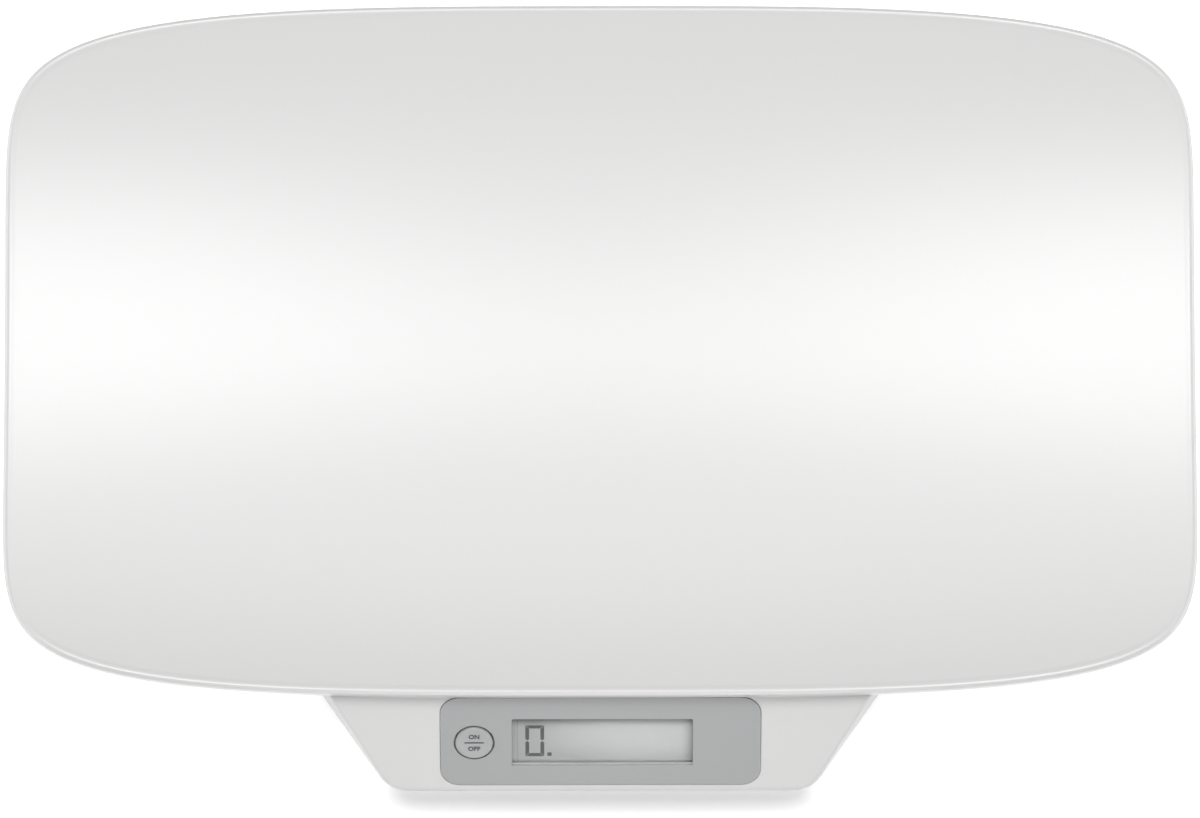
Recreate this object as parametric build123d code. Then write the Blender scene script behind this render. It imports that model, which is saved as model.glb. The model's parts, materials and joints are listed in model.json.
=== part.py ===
"""Digital baby weighing scale: a trough-shaped tray on a base with a sloping console.

Millimetres, +Z up, X along the tray. The origin is at the middle of the footprint, on the table.
The console faces -Y.
"""

from build123d import *
import math
import os

# ---- Tray: a sheet curved about an axis along X, with a raised lip and a skirt all round ----
TRAY_LENGTH = 550.0
TRAY_DEPTH = 322.0
TRAY_WALL = 3.0
TROUGH_HEIGHT = 40.0  # lowest line of the trough above the table
TROUGH_DROP = 24.5  # from the lip's crease down to that line
END_POWER = 3.4  # how square the outline is along the length
SIDE_POWER = 9.1  # how square it is across the depth
QUARTER_STEPS = 12  # points in a quarter of the outline
STEP_BUNCHING = 1.6  # crowds them toward the tray's ends, where the outline turns fastest
LIP_WIDTH = 4.0
LIP_RISE = 0.6
LIP_ROUND = 1.4
SKIRT_HEIGHT = 8.0
SKIRT_WALL = 2.2
RIB_WALL = 2.0
RIB_HEIGHT = 3.2
RIBS_ALONG = 3
RIBS_ALONG_PITCH = 76.0
RIBS_ACROSS = 7
RIBS_ACROSS_PITCH = 66.0

# ---- Base ----
TRAY_GAP = 4.0  # between the tray's underside and the base
CONSOLE_REACH = 198.4  # from the tray's middle to the console's front edge
CONSOLE_TILT = 43.0  # console's normal, from the vertical
CONSOLE_EDGE_HEIGHT = 20.0
BASE_FRONT_WIDTH = 194.0
BASE_WIDTH = 300.0
BASE_BACK = 120.0  # from the tray's middle to the base's back wall
CHEEK_ANGLE = 35.0  # plan angle of the console's cheeks from the Y axis
FRONT_RADIUS = 16.0
CHEEK_RADIUS = 40.0
BACK_RADIUS = 30.0
BASE_WALL = 2.5
HUMP_CLEARANCE = 1.0  # between the base's highest land and the tray's skirt
SPLIT_HEIGHT = 17.0
FLOOR_HEIGHT = 8.0
FLOOR_WALL = 2.5
FLOOR_TAPER = 25.0
FLOOR_RIB_WALL = 1.6
FLOOR_RIB_HEIGHT = 2.5
FLOOR_RIBS_X = (-76.0, 0.0, 76.0)  # places of the ribs that run along Y
FLOOR_RIBS_Y = (-160.0, -70.0, 0.0, 70.0)  # the others, from the tray's middle
CASE_EDGE = 1.2  # rounding round the top of the base
TONGUE_HEIGHT = 2.0
TONGUE_WALL = 1.2

# ---- Fits ----
FIT = 0.3
THREAD_CLEARANCE = 0.05
CUP_CLEARANCE = 0.6

# ---- Screws ----
TRAY_SCREW_X = 90.0
TRAY_SCREW_Y = 60.0
TRAY_SCREW_RADIUS = 2.0
TRAY_SCREW_GRIP = 4.0
TRAY_BOSS_RADIUS = 6.0
SIDE_SCREW_INSET = 13.0  # side screws from the base's side
SIDE_SCREW_PLACES = (100.0, -70.0)  # along Y from the tray's middle
FRONT_SCREW_OUTSET = 4.5  # front screws beyond the console's front corners
FRONT_SCREW_PLACE = -163.0
HOUSING_SCREW_RADIUS = 1.5
HOUSING_SCREW_GRIP = 7.0
HOUSING_BOSS_RADIUS = 4.5
HEAD_HEIGHT = 2.0
HEAD_OVERHANG = 1.6  # a head's radius over its shank's
HEAD_SEAT = 1.6  # floor left under a sunk screw head

# ---- Console panel, window, button ----
PANEL_WIDTH = 147.0
PANEL_HEIGHT = 48.8
PANEL_RADIUS = 9.0
PANEL_FOOT = 3.0  # from the console's front edge up to the panel
PANEL_WALL = 1.2
PANEL_PROUD = 0.3
WINDOW_WIDTH = 83.0
WINDOW_HEIGHT = 26.0
WINDOW_X = 0.8  # window's middle from the panel's
WINDOW_Y = -0.6
WINDOW_RADIUS = 0.8
LENS_WALL = 1.0
LENS_LAND = 2.0
BUTTON_X = -58.0
BUTTON_Y = -0.6
BUTTON_RADIUS = 9.2
BUTTON_GAP = 0.4
BUTTON_PROUD = 0.5
BUTTON_TRAVEL = 0.5
BUTTON_FLANGE = 1.6
BUTTON_FLANGE_WALL = 1.0

# ---- Display and board, measured along the console's normal ----
LCD_WALL = 2.8
LCD_MARGIN = 3.5
LCD_SETBACK = 0.4
FRAME_WALL = 1.2
CONNECTOR_DEPTH = 2.0
BOARD_WIDTH = 150.0
BOARD_HEIGHT = 40.0
BOARD_WALL = 1.6
BOARD_SETBACK = 8.0  # board's front face from the console's face
BOARD_SCREW_X = 70.0
BOARD_SCREW_Y = 15.0
BOARD_SCREW_RADIUS = 1.0
BOARD_SCREW_GRIP = 3.5
BOARD_BOSS_RADIUS = 3.0
SWITCH_WIDTH = 6.0
SWITCH_HEIGHT = 3.4
PLUNGER_RADIUS = 1.7
PLUNGER_DEPTH = 1.6  # plunger inside the switch
CHIP_RADIUS = 5.0
CHIP_RISE = 1.4
CRYSTAL_RADIUS = 1.5
CRYSTAL_LENGTH = 8.0
CAPACITOR_RADIUS = 2.5
CAPACITOR_HEIGHT = 6.0
CAPACITOR_PITCH = 9.0
HEADER_LENGTH = 34.0
HEADER_WIDTH = 5.0
HEADER_HEIGHT = 4.0

# ---- Feet and load cells ----
FOOT_INSET = 40.0  # foot's middle from the base's side
FOOT_FRONT = -115.0
FOOT_BACK = 90.0
PAD_RADIUS = 15.0
PAD_WALL = 3.0
PAD_EDGE = 0.8
PAD_GROOVES = (5.0, 9.0)  # inner radii of the grooves in the sole
PAD_GROOVE_WIDTH = 1.2
PAD_GROOVE_DEPTH = 0.6
CUP_WALL = 3.0
CUP_EDGE = 0.6
NECK_RADIUS = 12.0
FOOT_TRAVEL = 0.3
FOOT_PLAY = 0.1  # left over at the end of the travel
PIN_RADIUS = 2.5
PIN_HEAD = 1.5
CELL_SIZE = 34.0
CELL_WALL = 2.0
CELL_HEIGHT = 13.0  # underside above the table
CELL_FRAME = 4.5
CELL_SLOT = 2.5
CELL_LEDGE = 2.0
POCKET_WALL = 1.6
POCKET_RISE = 1.5
GAUGE_LENGTH = 7.0
GAUGE_WIDTH = 4.0
GAUGE_WALL = 0.2

# ---- Battery bay: two AAA cells side by side ----
BATTERY_RADIUS = 5.25
BATTERY_LENGTH = 44.5
BATTERY_NUB_RADIUS = 1.9
BATTERY_NUB_LENGTH = 1.0
BATTERY_PITCH = 11.4
BAY_Y = 35.0  # bay's middle from the tray's middle
BAY_WALL = 1.6
BAY_PLAY = 0.4
CONTACT_WALL = 0.4
SPRING_DEPTH = 3.2
SPRING_SHARE = 0.8  # a leaf's half height over the cell's radius
CONTACT_WIDTH = 8.0
DOOR_WALL = 2.0
DOOR_GAP = 0.4
DOOR_PIN_RADIUS = 0.8
DOOR_PIN_LENGTH = 1.2
DOOR_PIN_PLAY = 0.1
DOOR_GRIP_RADIUS = 5.0
DOOR_GRIP_DEPTH = 1.0
DOOR_GRIP_INSET = 8.0  # dip's middle from the door's front edge
DOOR_RIDGES = 3
DOOR_RIDGE_PITCH = 1.6
DOOR_RIDGE_WIDTH = 0.8
DOOR_RIDGE_LENGTH = 12.0
DOOR_RIDGE_INSET = 15.0  # middle groove from the door's front edge
DOOR_RIDGE_DEPTH = 0.5

# ---- Unit switch ----
UNIT_X = 45.0
UNIT_LENGTH = 11.0
UNIT_WIDTH = 5.0
UNIT_HEIGHT = 4.0
UNIT_LIFT = 0.4  # between the floor and the switch
UNIT_TRAVEL = 3.0
KNOB_LENGTH = 4.0
KNOB_WIDTH = 3.0
KNOB_STEM = 2.0
KNOB_SUNK = 0.6
UNIT_BOARD_LENGTH = 24.0
UNIT_BOARD_WIDTH = 12.0
UNIT_POST_RADIUS = 1.2
UNIT_POST_PITCH = 18.0

# ---- Leads ----
LEAD_RADIUS = 0.9
LEAD_BEND = 4.0
LEAD_LEVEL = 21.0  # height of the long runs above the table
LEAD_DROP = 10.0  # from the header to the first bend
LEAD_SWING = 15.0  # on from that bend to the long run
LEAD_PINS = 7

# ---- Worked out from the above ----
TRAY_Y = (CONSOLE_REACH - TRAY_DEPTH / 2) / 2
FRONT_Y = TRAY_Y - CONSOLE_REACH
CREASE_DEPTH = TRAY_DEPTH / 2 - LIP_WIDTH
TROUGH_RADIUS = (CREASE_DEPTH**2 + TROUGH_DROP**2) / (2 * TROUGH_DROP)
LIP_HEIGHT = TROUGH_HEIGHT + TROUGH_DROP + LIP_RISE
SKIRT_FOOT = LIP_HEIGHT - SKIRT_HEIGHT
TRAY_UNDERSIDE = TROUGH_RADIUS + TRAY_WALL
BASE_TOP_RADIUS = TRAY_UNDERSIDE + TRAY_GAP
FLOOR_TOP = FLOOR_HEIGHT + FLOOR_WALL
PANEL_MIDDLE = PANEL_FOOT + PANEL_HEIGHT / 2
PANEL_FLOOR = PANEL_PROUD - PANEL_WALL
LENS_BACK = PANEL_FLOOR - LENS_WALL
LCD_FRONT = -BASE_WALL - LCD_SETBACK
LCD_BACK = LCD_FRONT - LCD_WALL
LCD_HALF_WIDTH = WINDOW_WIDTH / 2 + LCD_MARGIN
LCD_HALF_HEIGHT = WINDOW_HEIGHT / 2 + LCD_MARGIN
BOARD_BACK = -BOARD_SETBACK - BOARD_WALL
SIDE_SCREW_X = BASE_WIDTH / 2 - SIDE_SCREW_INSET
FRONT_SCREW_X = BASE_FRONT_WIDTH / 2 + FRONT_SCREW_OUTSET
FOOT_X = BASE_WIDTH / 2 - FOOT_INSET
FOOT_PLACES = {
    "front_left": (-FOOT_X, TRAY_Y + FOOT_FRONT),
    "front_right": (FOOT_X, TRAY_Y + FOOT_FRONT),
    "back_left": (-FOOT_X, TRAY_Y + FOOT_BACK),
    "back_right": (FOOT_X, TRAY_Y + FOOT_BACK),
}
FOOT_LIFT = FOOT_TRAVEL + FOOT_PLAY
CELL_TOP = CELL_HEIGHT + CELL_WALL
NECK_TOP = CELL_HEIGHT - FOOT_LIFT
BAY_LENGTH = BATTERY_LENGTH + SPRING_DEPTH + 2 * CONTACT_WALL
BAY_WIDTH = BATTERY_PITCH + 2 * BATTERY_RADIUS + 2 * BAY_PLAY
BAY_CENTRE = TRAY_Y + BAY_Y
BATTERY_HEIGHT = FLOOR_HEIGHT + DOOR_WALL + FIT + BATTERY_RADIUS
BAY_TOP = BATTERY_HEIGHT + BATTERY_RADIUS + BAY_PLAY
BAY_END = BAY_LENGTH / 2
UNIT_FLOOR = FLOOR_TOP + UNIT_LIFT
UNIT_TOP = UNIT_FLOOR + UNIT_HEIGHT
FAR = 2 * TRAY_LENGTH
TRAY_TOP = LIP_HEIGHT + LIP_WIDTH  # above everything


# ---- Shared shapes ----
def block(x_size, y_size, low, high, x=0.0, y=0.0):
    """Upright box of a plan size between two heights."""
    return Pos(x, y, (low + high) / 2) * Box(x_size, y_size, high - low)


def post(radius, low, high, x=0.0, y=0.0):
    """Upright round post between two heights."""
    return Pos(x, y, (low + high) / 2) * Cylinder(radius, high - low)


def trough(radius):
    """Long drum about the trough's own axis, which runs along X above the tray."""
    axis = Pos(0, TRAY_Y, TROUGH_HEIGHT + TROUGH_RADIUS)
    return axis * Rot(0, -90, 0) * Cylinder(radius, FAR)


def trough_height(y):
    """Height of the trough's top surface at a distance from the tray's middle line."""
    return TROUGH_HEIGHT + TROUGH_RADIUS - math.sqrt(TROUGH_RADIUS**2 - y**2)


def signed_power(value, power):
    """A power that keeps the sign of its base."""
    return math.copysign(abs(value) ** power, value)


def outline_point(turn, inset):
    """One point of the tray's super-elliptic outline, moved in along its normal."""
    half_length = TRAY_LENGTH / 2
    half_depth = TRAY_DEPTH / 2
    x = signed_power(math.cos(turn), 2 / END_POWER)
    y = signed_power(math.sin(turn), 2 / SIDE_POWER)
    normal = Vector(
        END_POWER * signed_power(x, END_POWER - 1) / half_length,
        SIDE_POWER * signed_power(y, SIDE_POWER - 1) / half_depth,
    ).normalized()
    return Vector(half_length * x, half_depth * y) - inset * normal


def quarter(inset, x_side, y_side):
    """One quarter of the outline, from its end to the middle of its long side."""
    shares = [(step / QUARTER_STEPS) ** STEP_BUNCHING for step in range(QUARTER_STEPS + 1)]
    points = [outline_point(math.pi / 2 * share, inset) for share in shares]
    placed = [(x_side * round(point.X, 6), y_side * round(point.Y, 6)) for point in points]
    return Spline(placed, tangents=[(0, y_side), (-x_side, 0)])


def outline_prism(inset, low, high):
    """Upright prism inside the tray's outline."""
    sides = ((1, 1), (-1, 1), (-1, -1), (1, -1))
    face = make_face([quarter(inset, x_side, y_side) for x_side, y_side in sides])
    return Pos(0, TRAY_Y, low) * extrude(face, amount=high - low)


# ---- Tray ----
def tray_shell():
    """Curved sheet with an even lip and a skirt that follow its outline."""
    shell = outline_prism(0, 0, TRAY_TOP) & trough(TROUGH_RADIUS + SKIRT_HEIGHT - LIP_RISE)
    shell -= trough(TROUGH_RADIUS - LIP_RISE)
    shell -= outline_prism(LIP_WIDTH, 0, TRAY_TOP) & trough(TROUGH_RADIUS)
    shell -= outline_prism(SKIRT_WALL, 0, TRAY_TOP) - trough(TRAY_UNDERSIDE)
    lip = shell.faces().filter_by(GeomType.CYLINDER).sort_by(lambda face: face.radius)[0]
    return fillet(lip.outer_wire().edges(), LIP_ROUND)


def tray_ribs():
    """Grid of low ribs under the sheet, short of the base and inside the skirt."""
    along = [
        block(FAR, RIB_WALL, 0, LIP_HEIGHT, y=TRAY_Y + place * RIBS_ALONG_PITCH)
        for place in centred(RIBS_ALONG)
    ]
    across = [
        block(RIB_WALL, FAR, 0, LIP_HEIGHT, x=place * RIBS_ACROSS_PITCH)
        for place in centred(RIBS_ACROSS)
    ]
    inside = outline_prism(LIP_WIDTH, 0, LIP_HEIGHT)
    band = trough(TRAY_UNDERSIDE + RIB_HEIGHT) - trough(TRAY_UNDERSIDE - TRAY_WALL / 2)
    return Part() + along + across & inside & band


def centred(count):
    """Places of a row of things about its middle, in steps."""
    return [step - (count - 1) / 2 for step in range(count)]


def tray_screw_places():
    """Plan places of the four screws that hold the tray."""
    return [
        (x, TRAY_Y + y)
        for x in (-TRAY_SCREW_X, TRAY_SCREW_X)
        for y in (-TRAY_SCREW_Y, TRAY_SCREW_Y)
    ]


def tray_seat():
    """Height of the flat seats where the tray's bosses stand on the base."""
    lowest = trough_height(TRAY_SCREW_Y - TRAY_BOSS_RADIUS)
    return lowest - TRAY_WALL - TRAY_GAP - FIT


def make_tray():
    """Curved sheet with its rim, ribs and screw bosses."""
    seat = tray_seat()
    tray = tray_shell() + tray_ribs()
    below = trough(TROUGH_RADIUS + TRAY_WALL / 2)
    for x, y in tray_screw_places():
        tray += post(TRAY_BOSS_RADIUS, seat, LIP_HEIGHT, x, y) - below
        hole = post(TRAY_SCREW_RADIUS + THREAD_CLEARANCE, seat, seat + TRAY_SCREW_GRIP + FIT, x, y)
        tray -= hole
    return tray


def make_tray_screws():
    """Four pan-head screws, driven up from inside the base."""
    seat = tray_seat()
    head_top = seat - BASE_WALL
    return [
        post(TRAY_SCREW_RADIUS, head_top, seat + TRAY_SCREW_GRIP, x, y)
        + post(TRAY_SCREW_RADIUS + HEAD_OVERHANG, head_top - HEAD_HEIGHT, head_top, x, y)
        for x, y in tray_screw_places()
    ]


# ---- Base ----
def base_outline(inset):
    """Plan of the base: a wide back, and cheeks that narrow to the console."""
    front = BASE_FRONT_WIDTH / 2
    side = BASE_WIDTH / 2
    cheek = FRONT_Y + (side - front) / math.tan(math.radians(CHEEK_ANGLE))
    back = TRAY_Y + BASE_BACK
    right = [(front, FRONT_Y), (side, cheek), (side, back)]
    left = [(-x, y) for x, y in reversed(right)]
    plan = make_face(Polyline(*right, *left, close=True))
    for row, radius in ((FRONT_Y, FRONT_RADIUS), (cheek, CHEEK_RADIUS), (back, BACK_RADIUS)):
        corners = [corner for corner in plan.vertices() if abs(corner.Y - row) < FIT]
        plan = fillet(corners, radius)
    return offset(plan, amount=-inset) if inset else plan


def console():
    """Plane of the console's face: origin on its front edge, X across, Y up the slope."""
    tilt = math.radians(CONSOLE_TILT)
    return Plane(
        (0, FRONT_Y, CONSOLE_EDGE_HEIGHT),
        x_dir=(1, 0, 0),
        z_dir=(0, -math.sin(tilt), math.cos(tilt)),
    )


def on_console(x, y, depth, thing):
    """Puts a thing on the console, from the panel's middle, at a depth along the normal."""
    return console() * Pos(x, PANEL_MIDDLE + y, depth) * thing


def console_plate(width, height, low, high, x=0.0, y=0.0, radius=0.0):
    """Plate parallel to the console's face, between two depths, with rounded corners."""
    shape = RectangleRounded(width, height, radius) if radius else Rectangle(width, height)
    return on_console(x, y, low, extrude(shape, amount=high - low))


def console_post(radius, low, high, x=0.0, y=0.0):
    """Round post square to the console's face, between two depths."""
    return on_console(x, y, (low + high) / 2, Cylinder(radius, high - low))


def upper_block(inset, low):
    """The upper shell's outer form, or its cavity where it is inset."""
    form = Pos(0, 0, low) * extrude(base_outline(inset), amount=LIP_HEIGHT)
    form -= trough(BASE_TOP_RADIUS + inset)
    form -= block(FAR, FAR, SKIRT_FOOT - HUMP_CLEARANCE - inset, FAR)
    above = extrude(Rectangle(FAR, FAR), amount=FAR)
    return form - console() * Pos(0, 0, -inset) * above


def housing_screw_places():
    """Plan places of the six screws that close the base."""
    right = [(SIDE_SCREW_X, y) for y in SIDE_SCREW_PLACES] + [(FRONT_SCREW_X, FRONT_SCREW_PLACE)]
    return [(side * x, TRAY_Y + y) for x, y in right for side in (-1, 1)]


def softened_block():
    """The upper shell's outer form with the edges above its side wall rounded."""
    form = upper_block(0, SPLIT_HEIGHT)
    wall = form.edges().filter_by(lambda edge: edge.bounding_box().min.Z > SPLIT_HEIGHT + FIT)
    upright = wall.filter_by(Axis.Z)
    return fillet([edge for edge in wall if edge not in upright], CASE_EDGE)


def make_upper_housing():
    """Top shell: concave under the tray, sloping at the console, with bosses inside."""
    outer = softened_block()
    shell = outer - upper_block(BASE_WALL, SPLIT_HEIGHT - BASE_WALL)
    seat = tray_seat()
    for x, y in tray_screw_places():
        shell += post(TRAY_BOSS_RADIUS + BASE_WALL, seat - BASE_WALL, seat, x, y)
        shell -= post(TRAY_BOSS_RADIUS + FIT, seat, LIP_HEIGHT, x, y)
        shell -= post(TRAY_SCREW_RADIUS + FIT, FLOOR_TOP, seat, x, y)
    pilot = HOUSING_SCREW_RADIUS + THREAD_CLEARANCE
    for x, y in housing_screw_places():
        shell += post(HOUSING_BOSS_RADIUS, SPLIT_HEIGHT, LIP_HEIGHT, x, y) & outer
        shell -= post(pilot, SPLIT_HEIGHT, SPLIT_HEIGHT + HOUSING_SCREW_GRIP + FIT, x, y)
    for x, y in board_screw_places():
        shell += console_post(BOARD_BOSS_RADIUS, -BOARD_SETBACK, -BASE_WALL, x, y)
        depth = BOARD_SCREW_GRIP + FIT
        bore = BOARD_SCREW_RADIUS + THREAD_CLEARANCE
        shell -= console_post(bore, -BOARD_SETBACK, depth - BOARD_SETBACK, x, y)
    shell -= console_plate(
        PANEL_WIDTH + 2 * FIT, PANEL_HEIGHT + 2 * FIT, PANEL_FLOOR, 1, radius=PANEL_RADIUS + FIT
    )
    shell -= console_plate(
        WINDOW_WIDTH + 2 * (LENS_LAND + FIT),
        WINDOW_HEIGHT + 2 * (LENS_LAND + FIT),
        LENS_BACK,
        1,
        WINDOW_X,
        WINDOW_Y,
    )
    shell -= console_plate(WINDOW_WIDTH, WINDOW_HEIGHT, -2 * BASE_WALL, 1, WINDOW_X, WINDOW_Y)
    return shell - console_post(BUTTON_RADIUS + BUTTON_GAP, -2 * BASE_WALL, 1, BUTTON_X, BUTTON_Y)


def make_lower_housing():
    """Bottom shell: tapered and ribbed floor, tongue, screw columns, foot holes, bay, unit slot."""
    turned = Pos(0, 0, SPLIT_HEIGHT) * base_outline(0)
    depth = SPLIT_HEIGHT - FLOOR_HEIGHT
    form = extrude(turned, amount=depth, dir=(0, 0, -1), taper=FLOOR_TAPER)
    inner = Pos(0, 0, SPLIT_HEIGHT) * base_outline(BASE_WALL)
    shell = form - extrude(inner, amount=SPLIT_HEIGHT - FLOOR_TOP, dir=(0, 0, -1), taper=FLOOR_TAPER)
    shell += floor_ribs() & form
    ring = base_outline(BASE_WALL + FIT) - base_outline(BASE_WALL + FIT + TONGUE_WALL)
    shell += Pos(0, 0, FLOOR_TOP) * extrude(ring, amount=SPLIT_HEIGHT + TONGUE_HEIGHT - FLOOR_TOP)
    for x, y in housing_screw_places():
        shell -= post(HOUSING_BOSS_RADIUS + FIT, SPLIT_HEIGHT, LIP_HEIGHT, x, y)
        shell += post(HOUSING_BOSS_RADIUS, FLOOR_HEIGHT, SPLIT_HEIGHT, x, y)
        shell -= post(HOUSING_SCREW_RADIUS + FIT, FLOOR_HEIGHT, SPLIT_HEIGHT, x, y)
        head_well = HOUSING_SCREW_RADIUS + HEAD_OVERHANG + FIT
        shell -= post(head_well, FLOOR_HEIGHT, FLOOR_TOP + HEAD_SEAT, x, y)
    for x, y in FOOT_PLACES.values():
        shell += cell_pocket(x, y)
        shell -= post(NECK_RADIUS + CUP_CLEARANCE, 0, CELL_HEIGHT, x, y)
    shell += bay_walls()
    return open_floor(shell)


def floor_ribs():
    """Two rows of low ribs on the floor, clear of the load cells' pockets."""
    top = FLOOR_TOP + FLOOR_RIB_HEIGHT
    along = [block(FLOOR_RIB_WALL, FAR, FLOOR_HEIGHT, top, x=x) for x in FLOOR_RIBS_X]
    across = [block(FAR, FLOOR_RIB_WALL, FLOOR_HEIGHT, top, y=TRAY_Y + y) for y in FLOOR_RIBS_Y]
    return Part() + along + across


def cell_pocket(x, y):
    """Square wall round a load cell, with a ledge under its two outer sides."""
    outer = CELL_SIZE + 2 * (FIT + POCKET_WALL)
    inner = CELL_SIZE + 2 * FIT
    pocket = block(outer, outer, FLOOR_HEIGHT, CELL_TOP + POCKET_RISE, x, y)
    pocket -= block(inner, inner, CELL_HEIGHT, FAR, x, y)
    between = CELL_SIZE - 2 * CELL_LEDGE
    return pocket - block(between, inner, FLOOR_TOP, FAR, x, y)


def make_housing_screws():
    """Six countersunk-well screws, driven up from below."""
    seat = FLOOR_TOP + HEAD_SEAT
    return [
        post(HOUSING_SCREW_RADIUS, seat, SPLIT_HEIGHT + HOUSING_SCREW_GRIP, x, y)
        + post(HOUSING_SCREW_RADIUS + HEAD_OVERHANG, seat - HEAD_HEIGHT, seat, x, y)
        for x, y in housing_screw_places()
    ]


# ---- Console panel ----
def make_console_overlay():
    """Rounded panel with the window and the round hole for the button."""
    panel = console_plate(PANEL_WIDTH, PANEL_HEIGHT, PANEL_FLOOR, PANEL_PROUD, radius=PANEL_RADIUS)
    panel -= console_plate(
        WINDOW_WIDTH, WINDOW_HEIGHT, -BASE_WALL, 1, WINDOW_X, WINDOW_Y, WINDOW_RADIUS
    )
    return panel - console_post(BUTTON_RADIUS + BUTTON_GAP, -BASE_WALL, 1, BUTTON_X, BUTTON_Y)


def make_display_lens():
    """Clear plate that rests on the housing's rebate and under the overlay's edge."""
    return console_plate(
        WINDOW_WIDTH + 2 * LENS_LAND,
        WINDOW_HEIGHT + 2 * LENS_LAND,
        LENS_BACK,
        PANEL_FLOOR,
        WINDOW_X,
        WINDOW_Y,
    )


def make_button_cap():
    """Round key with a flange behind the console's wall and a stem to the switch."""
    top = PANEL_PROUD + BUTTON_PROUD
    flange_top = -BASE_WALL - FIT
    flange_back = flange_top - BUTTON_FLANGE_WALL
    cap = console_post(BUTTON_RADIUS, flange_back, top, BUTTON_X, BUTTON_Y)
    rim = cap.edges().filter_by(GeomType.CIRCLE).sort_by(Axis(console().origin, console().z_dir))[-1]
    cap = fillet(rim, BUTTON_PROUD)
    cap += console_post(
        BUTTON_RADIUS + BUTTON_GAP + BUTTON_FLANGE, flange_back, flange_top, BUTTON_X, BUTTON_Y
    )
    return cap


def plunger_top():
    """Depth of the plunger's top, which the cap's flange rests on."""
    return -BASE_WALL - FIT - BUTTON_FLANGE_WALL


def make_switch_body():
    """Square push switch on the board, bored for its plunger."""
    top = SWITCH_HEIGHT - BOARD_SETBACK
    body = console_plate(SWITCH_WIDTH, SWITCH_WIDTH, -BOARD_SETBACK, top, BUTTON_X, BUTTON_Y)
    low = top - PLUNGER_DEPTH - BUTTON_TRAVEL - FIT
    return body - console_post(PLUNGER_RADIUS + FIT, low, 0, BUTTON_X, BUTTON_Y)


def make_switch_plunger():
    """Round plunger between the switch and the cap."""
    low = SWITCH_HEIGHT - BOARD_SETBACK - PLUNGER_DEPTH
    return console_post(PLUNGER_RADIUS, low, plunger_top(), BUTTON_X, BUTTON_Y)


# ---- Display and board ----
def make_lcd_glass():
    """Display glass just behind the housing's wall."""
    return console_plate(
        2 * LCD_HALF_WIDTH, 2 * LCD_HALF_HEIGHT, LCD_BACK, LCD_FRONT, WINDOW_X, WINDOW_Y
    )


def make_lcd_frame():
    """Frame that stands on the board and holds the glass and its two connectors."""
    width = 2 * (LCD_HALF_WIDTH + FIT + FRAME_WALL)
    height = 2 * (LCD_HALF_HEIGHT + FIT + FRAME_WALL)
    frame = console_plate(width, height, -BOARD_SETBACK, LCD_FRONT, WINDOW_X, WINDOW_Y)
    frame -= console_plate(
        2 * (LCD_HALF_WIDTH + FIT), 2 * (LCD_HALF_HEIGHT + FIT), LCD_BACK, 0, WINDOW_X, WINDOW_Y
    )
    shelf = 2 * FRAME_WALL
    return frame - console_plate(
        2 * LCD_HALF_WIDTH - shelf, 2 * LCD_HALF_HEIGHT, -BASE_WALL - BOARD_SETBACK, 0, WINDOW_X, WINDOW_Y
    )


def make_lcd_connectors():
    """Two conducting rubber strips between the glass and the board."""
    length = 2 * (LCD_HALF_WIDTH - 2 * FRAME_WALL)
    reach = LCD_HALF_HEIGHT - CONNECTOR_DEPTH
    return [
        console_plate(
            length, CONNECTOR_DEPTH, -BOARD_SETBACK, LCD_BACK, WINDOW_X, WINDOW_Y + side * reach
        )
        for side in (-1, 1)
    ]


def board_screw_places():
    """Places of the board's four screws from the panel's middle."""
    return [
        (x, y)
        for x in (-BOARD_SCREW_X, BOARD_SCREW_X)
        for y in (-BOARD_SCREW_Y, BOARD_SCREW_Y)
    ]


def make_main_board():
    """Circuit board on the console's bosses."""
    board = console_plate(BOARD_WIDTH, BOARD_HEIGHT, BOARD_BACK, -BOARD_SETBACK)
    for x, y in board_screw_places():
        board -= console_post(BOARD_SCREW_RADIUS + FIT, BOARD_BACK, -BOARD_SETBACK, x, y)
    return board


def make_board_screws():
    """Four small screws behind the board."""
    tip = BOARD_SCREW_GRIP - BOARD_SETBACK
    return [
        console_post(BOARD_SCREW_RADIUS, BOARD_BACK, tip, x, y)
        + console_post(
            BOARD_SCREW_RADIUS + HEAD_OVERHANG, BOARD_BACK - HEAD_HEIGHT, BOARD_BACK, x, y
        )
        for x, y in board_screw_places()
    ]


def make_controller_chip():
    """Domed blob of resin over the controller, behind the board."""
    ball = (CHIP_RADIUS**2 + CHIP_RISE**2) / (2 * CHIP_RISE)
    dome = on_console(0, 0, BOARD_BACK - CHIP_RISE + ball, Sphere(ball))
    return dome & console_plate(FAR, FAR, BOARD_BACK - CHIP_RISE, BOARD_BACK)


def make_crystal():
    """Small metal can lying on the back of the board."""
    can = Rot(0, 90, 0) * Cylinder(CRYSTAL_RADIUS, CRYSTAL_LENGTH)
    return on_console(2 * CHIP_RADIUS + CRYSTAL_LENGTH, 0, BOARD_BACK - CRYSTAL_RADIUS, can)


def make_capacitors():
    """Three round capacitors in a row behind the board."""
    row = 2 * CHIP_RADIUS + 2 * CRYSTAL_LENGTH + CAPACITOR_PITCH
    return [
        console_post(
            CAPACITOR_RADIUS,
            BOARD_BACK - CAPACITOR_HEIGHT,
            BOARD_BACK,
            row + place * CAPACITOR_PITCH,
        )
        for place in centred(3)
    ]


def header_centre():
    """Across and up-slope place of the lead header, from the panel's middle."""
    return (-CHIP_RADIUS - HEADER_LENGTH / 2 - CAPACITOR_PITCH, BOARD_HEIGHT / 4)


def make_lead_header():
    """Header behind the board that all the leads plug into."""
    x, y = header_centre()
    return console_plate(HEADER_LENGTH, HEADER_WIDTH, BOARD_BACK - HEADER_HEIGHT, BOARD_BACK, x, y)


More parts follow.
